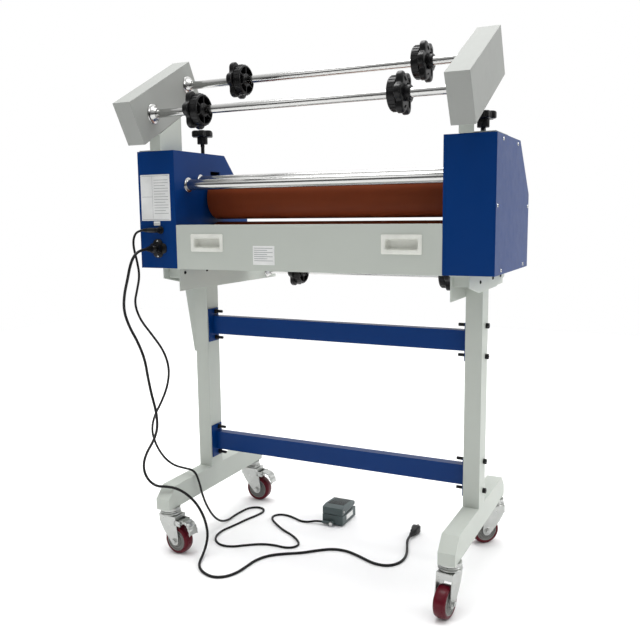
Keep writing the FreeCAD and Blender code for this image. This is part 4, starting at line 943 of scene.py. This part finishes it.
def mains_plug():
    """A moulded plug lying flat: ribbed guard, tapered grip and three plated pins."""
    low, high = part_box("mains_plug")
    x = (low.x + high.x) / 2
    z = 0.0115
    guard_end = low.y + 0.021
    face = guard_end + 0.030
    blade_offset = 0.0063
    blade_half = 0.0008
    centre = Vector((x, guard_end, z + 0.0005))
    # Depth from the guard, width and height.
    sections = [(0, 0.014, 0.014), (0.001, 0.0155, 0.0155), (0.012, 0.0175, 0.0175),
                (0.020, 0.0225, 0.0215), (0.028, 0.024, 0.023), (0.0305, 0.0235, 0.0225)]
    bm = bmesh.new()
    loops_to_skin(bm, [rounded_loop(width, height, width * 0.22, depth, centre, TO_FRONT)
                       for depth, width, height in sections])
    ribbed_guard(bm, Vector((x, low.y, z)), TO_FRONT, 0.0225, 0.0042, 0.0080, 6)
    for way in (-1, 1):
        blade = x + way * blade_offset
        slab(bm, (blade - blade_half, face, z - 0.0050), (blade + blade_half, high.y - 0.002, z + 0.0015), 1)
    earth_pin = [(0, 0.0023), (0.017, 0.0023), (0.019, 0.0012)]
    lathe(bm, Vector((x, face, z + 0.0060)), TO_FRONT, earth_pin, 20, 1)
    return finish_node("mains_plug", bm, [BLACK, CHROME])


inlet = inlet_plug()
pedal_end = pedal_plug()
mains = mains_plug()

for piece, node in ((pedal_lead, "pedal_cord"), (power_lead, "power_cord")):
    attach(piece, "machine")
    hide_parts(node)


# ---------------------------------------------------------------- foot switch

def foot_switch():
    """Cast grey housing with a hooded treadle, ribbed tread rubber, screws and a blank plate."""
    low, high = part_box("pedal_base")
    cad_copy("pedal_base", GREY, 0.0014)
    cad_copy("pedal_treadle", GREY, BOX_EDGE)
    t_low, t_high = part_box("pedal_treadle")
    margin = 0.006
    half_rib = 0.0016
    start = t_low.y + 0.022
    run = t_high.y - 0.014 - start
    fall = 0.004
    steps = 10
    bm = bmesh.new()
    for rib in range(steps + 1):
        y = start + run * rib / steps
        z = t_high.z - fall * rib / steps
        slab(bm, (t_low.x + margin, y - half_rib, z - 0.002), (t_high.x - margin, y + half_rib, z + 0.0004))
    new_piece("tread_rubber", bm, [RUBBER], "treadle", bevel=0.0004)
    bm = bmesh.new()
    slab(bm, (high.x - 0.0002, low.y + 0.040, 0.012), (high.x + 0.0006, low.y + 0.085, 0.026))
    new_piece("pedal_plate", bm, [PAPER], "machine", bevel=0.0002)
    bm = bmesh.new()
    gland = Vector(((low.x + high.x) / 2, low.y, 0.009))
    lathe(bm, gland, TO_REAR, [(-0.001, 0.0056), (0.0006, 0.0056), (0.0008, 0.0050)], 32)
    for x, way in ((low.x, -1), (high.x, 1)):
        pan_head(bm, (x, t_low.y + 0.009, 0.041), (way, 0, 0), 0.0030, 0.0008)
    # The second material is the dark cross on each chrome head: painted shade for its recess.
    new_piece("pedal_screws", bm, [CHROME, BLACK_OXIDE_AND_RECESS_SHADE], "machine")


foot_switch()


# ---------------------------------------------------------------- operator's controls

def controls():
    """Keypad plate with a dark display, round keys, a stop button and the speed dial's scale."""
    cad_copy("control_panel", GREY, 0.0008)
    axis = Vector(JOINTS["speed_dial_turn"]["axis"])
    spot = joint_spot("speed_dial_turn")
    down = Vector((0, axis.z, -axis.y))
    place = Matrix.Translation(spot) @ Matrix((RIGHT, -down, axis)).transposed().to_4x4()
    key_pitch = 0.026
    key_row = 0.015
    ticks = 11
    flutes = 18
    bm = bmesh.new()
    slab(bm, (-0.024, 0.0545, 0.0038), (0.024, 0.0735, 0.0043), place=place)
    new_piece("display_glass", bm, [GLASS], "machine", bevel=0.0003)
    bm = bmesh.new()
    for column in range(3):
        for row in range(2):
            centre = place @ Vector((key_pitch * (column - 1), 0.026 + key_row * row, 0.002))
            paint = 1 if (column, row) == (2, 0) else 0
            lathe(bm, centre, axis, [(0, 0.0052), (0.0016, 0.0050), (0.0022, 0.0042)], 32, paint)
    new_piece("panel_keys", bm, [WHITE, RED], "machine")
    bm = bmesh.new()
    for tick in range(ticks):
        turn = Matrix.Rotation(math.radians(135 - 270 * tick / (ticks - 1)), 4, "Z")
        slab(bm, (-0.0005, 0.0160, 0.0018), (0.0005, 0.0190, 0.0023), place=place @ turn)
    new_piece("dial_scale", bm, [WHITE], "machine")
    bm = bmesh.new()
    knob = [(0, 0.0130), (0.0030, 0.0130), (0.0045, 0.0112), (0.0120, 0.0104), (0.0138, 0.0092),
            (0.0140, 0.0070)]
    lathe(bm, place @ Vector((0, 0, 0.0023)), axis, knob, 64)
    for flute in range(flutes):
        turn = Matrix.Rotation(2 * math.pi * flute / flutes, 4, "Z")
        slab(bm, (0.0103, -0.0006, 0.0075), (0.0116, 0.0006, 0.0150), place=place @ turn)
    slab(bm, (-0.0009, 0.003, 0.0162), (0.0009, 0.0095, 0.0168), 1, place)
    finish_node("speed_knob", bm, [BLACK, WHITE])


controls()


# ---------------------------------------------------------------- floor and light

def surroundings():
    """A white backdrop behind, a bright ceiling and a dim room in front of the machine."""
    world = bpy.data.worlds.new("studio")
    world.use_nodes = True
    tree = world.node_tree
    room = tree.nodes["Background"]
    direction = tree.nodes.new("ShaderNodeTexCoord").outputs["Generated"]
    parts = tree.nodes.new("ShaderNodeSeparateXYZ")
    tree.links.new(direction, parts.inputs["Vector"])
    levels = []
    for axis, low, high, most in (("Z", 0.05, 0.9, 1.0), ("Y", 0.0, 0.9, 0.75)):
        ramp = tree.nodes.new("ShaderNodeMapRange")
        ramp.inputs["From Min"].default_value = low
        ramp.inputs["From Max"].default_value = high
        ramp.inputs["To Max"].default_value = most
        tree.links.new(parts.outputs[axis], ramp.inputs["Value"])
        levels.append(ramp.outputs["Result"])
    total = tree.nodes.new("ShaderNodeMath")
    tree.links.new(levels[0], total.inputs[0])
    tree.links.new(levels[1], total.inputs[1])
    lifted = tree.nodes.new("ShaderNodeMath")
    lifted.inputs[1].default_value = 0.10
    tree.links.new(total.outputs["Value"], lifted.inputs[0])
    tree.links.new(lifted.outputs["Value"], room.inputs["Strength"])
    backdrop = tree.nodes.new("ShaderNodeBackground")
    seen = tree.nodes.new("ShaderNodeLightPath").outputs["Is Camera Ray"]
    mix = tree.nodes.new("ShaderNodeMixShader")
    tree.links.new(seen, mix.inputs["Fac"])
    tree.links.new(room.outputs["Background"], mix.inputs[1])
    tree.links.new(backdrop.outputs["Background"], mix.inputs[2])
    room.inputs["Color"].default_value = (1, 1, 1, 1)
    backdrop.inputs["Color"].default_value = (1, 1, 1, 1)
    tree.links.new(mix.outputs["Shader"], tree.nodes["World Output"].inputs["Surface"])
    return world


def studio():
    """A pale floor without an edge in view and large soft lights."""
    half = 4
    bm = bmesh.new()
    slab(bm, (-half, -half, -0.05), (half, half, 0))
    mesh = bpy.data.meshes.new("floor")
    bm.to_mesh(mesh)
    bm.free()
    mesh.materials.append(Shader("floor", (0.93, 0.93, 0.93), 0.9, Specular_IOR_Level=0.1).material)
    floor = bpy.data.objects.new("floor", mesh)
    bpy.context.scene.collection.objects.link(floor)
    bpy.context.scene.world = surroundings()
    for name, place, target, width, power in (
            ("overhead", (-0.2, 0.1, 4.2), (0, 0, 0.7), 3.0, 150),
            ("side", (3.2, 0.6, 2.0), (0, 0, 0.8), 1.8, 26),
            ("front", (-1.4, -3.0, 2.6), (0, 0, 0.8), 1.4, 6)):
        data = bpy.data.lights.new(name, "AREA")
        data.shape = "DISK"
        data.size = width
        data.energy = power
        lamp = bpy.data.objects.new(name, data)
        lamp.matrix_world = Matrix.Translation(place) @ basis(Vector(place) - Vector(target))
        bpy.context.scene.collection.objects.link(lamp)
    bpy.context.scene.view_settings.view_transform = "Standard"


studio()
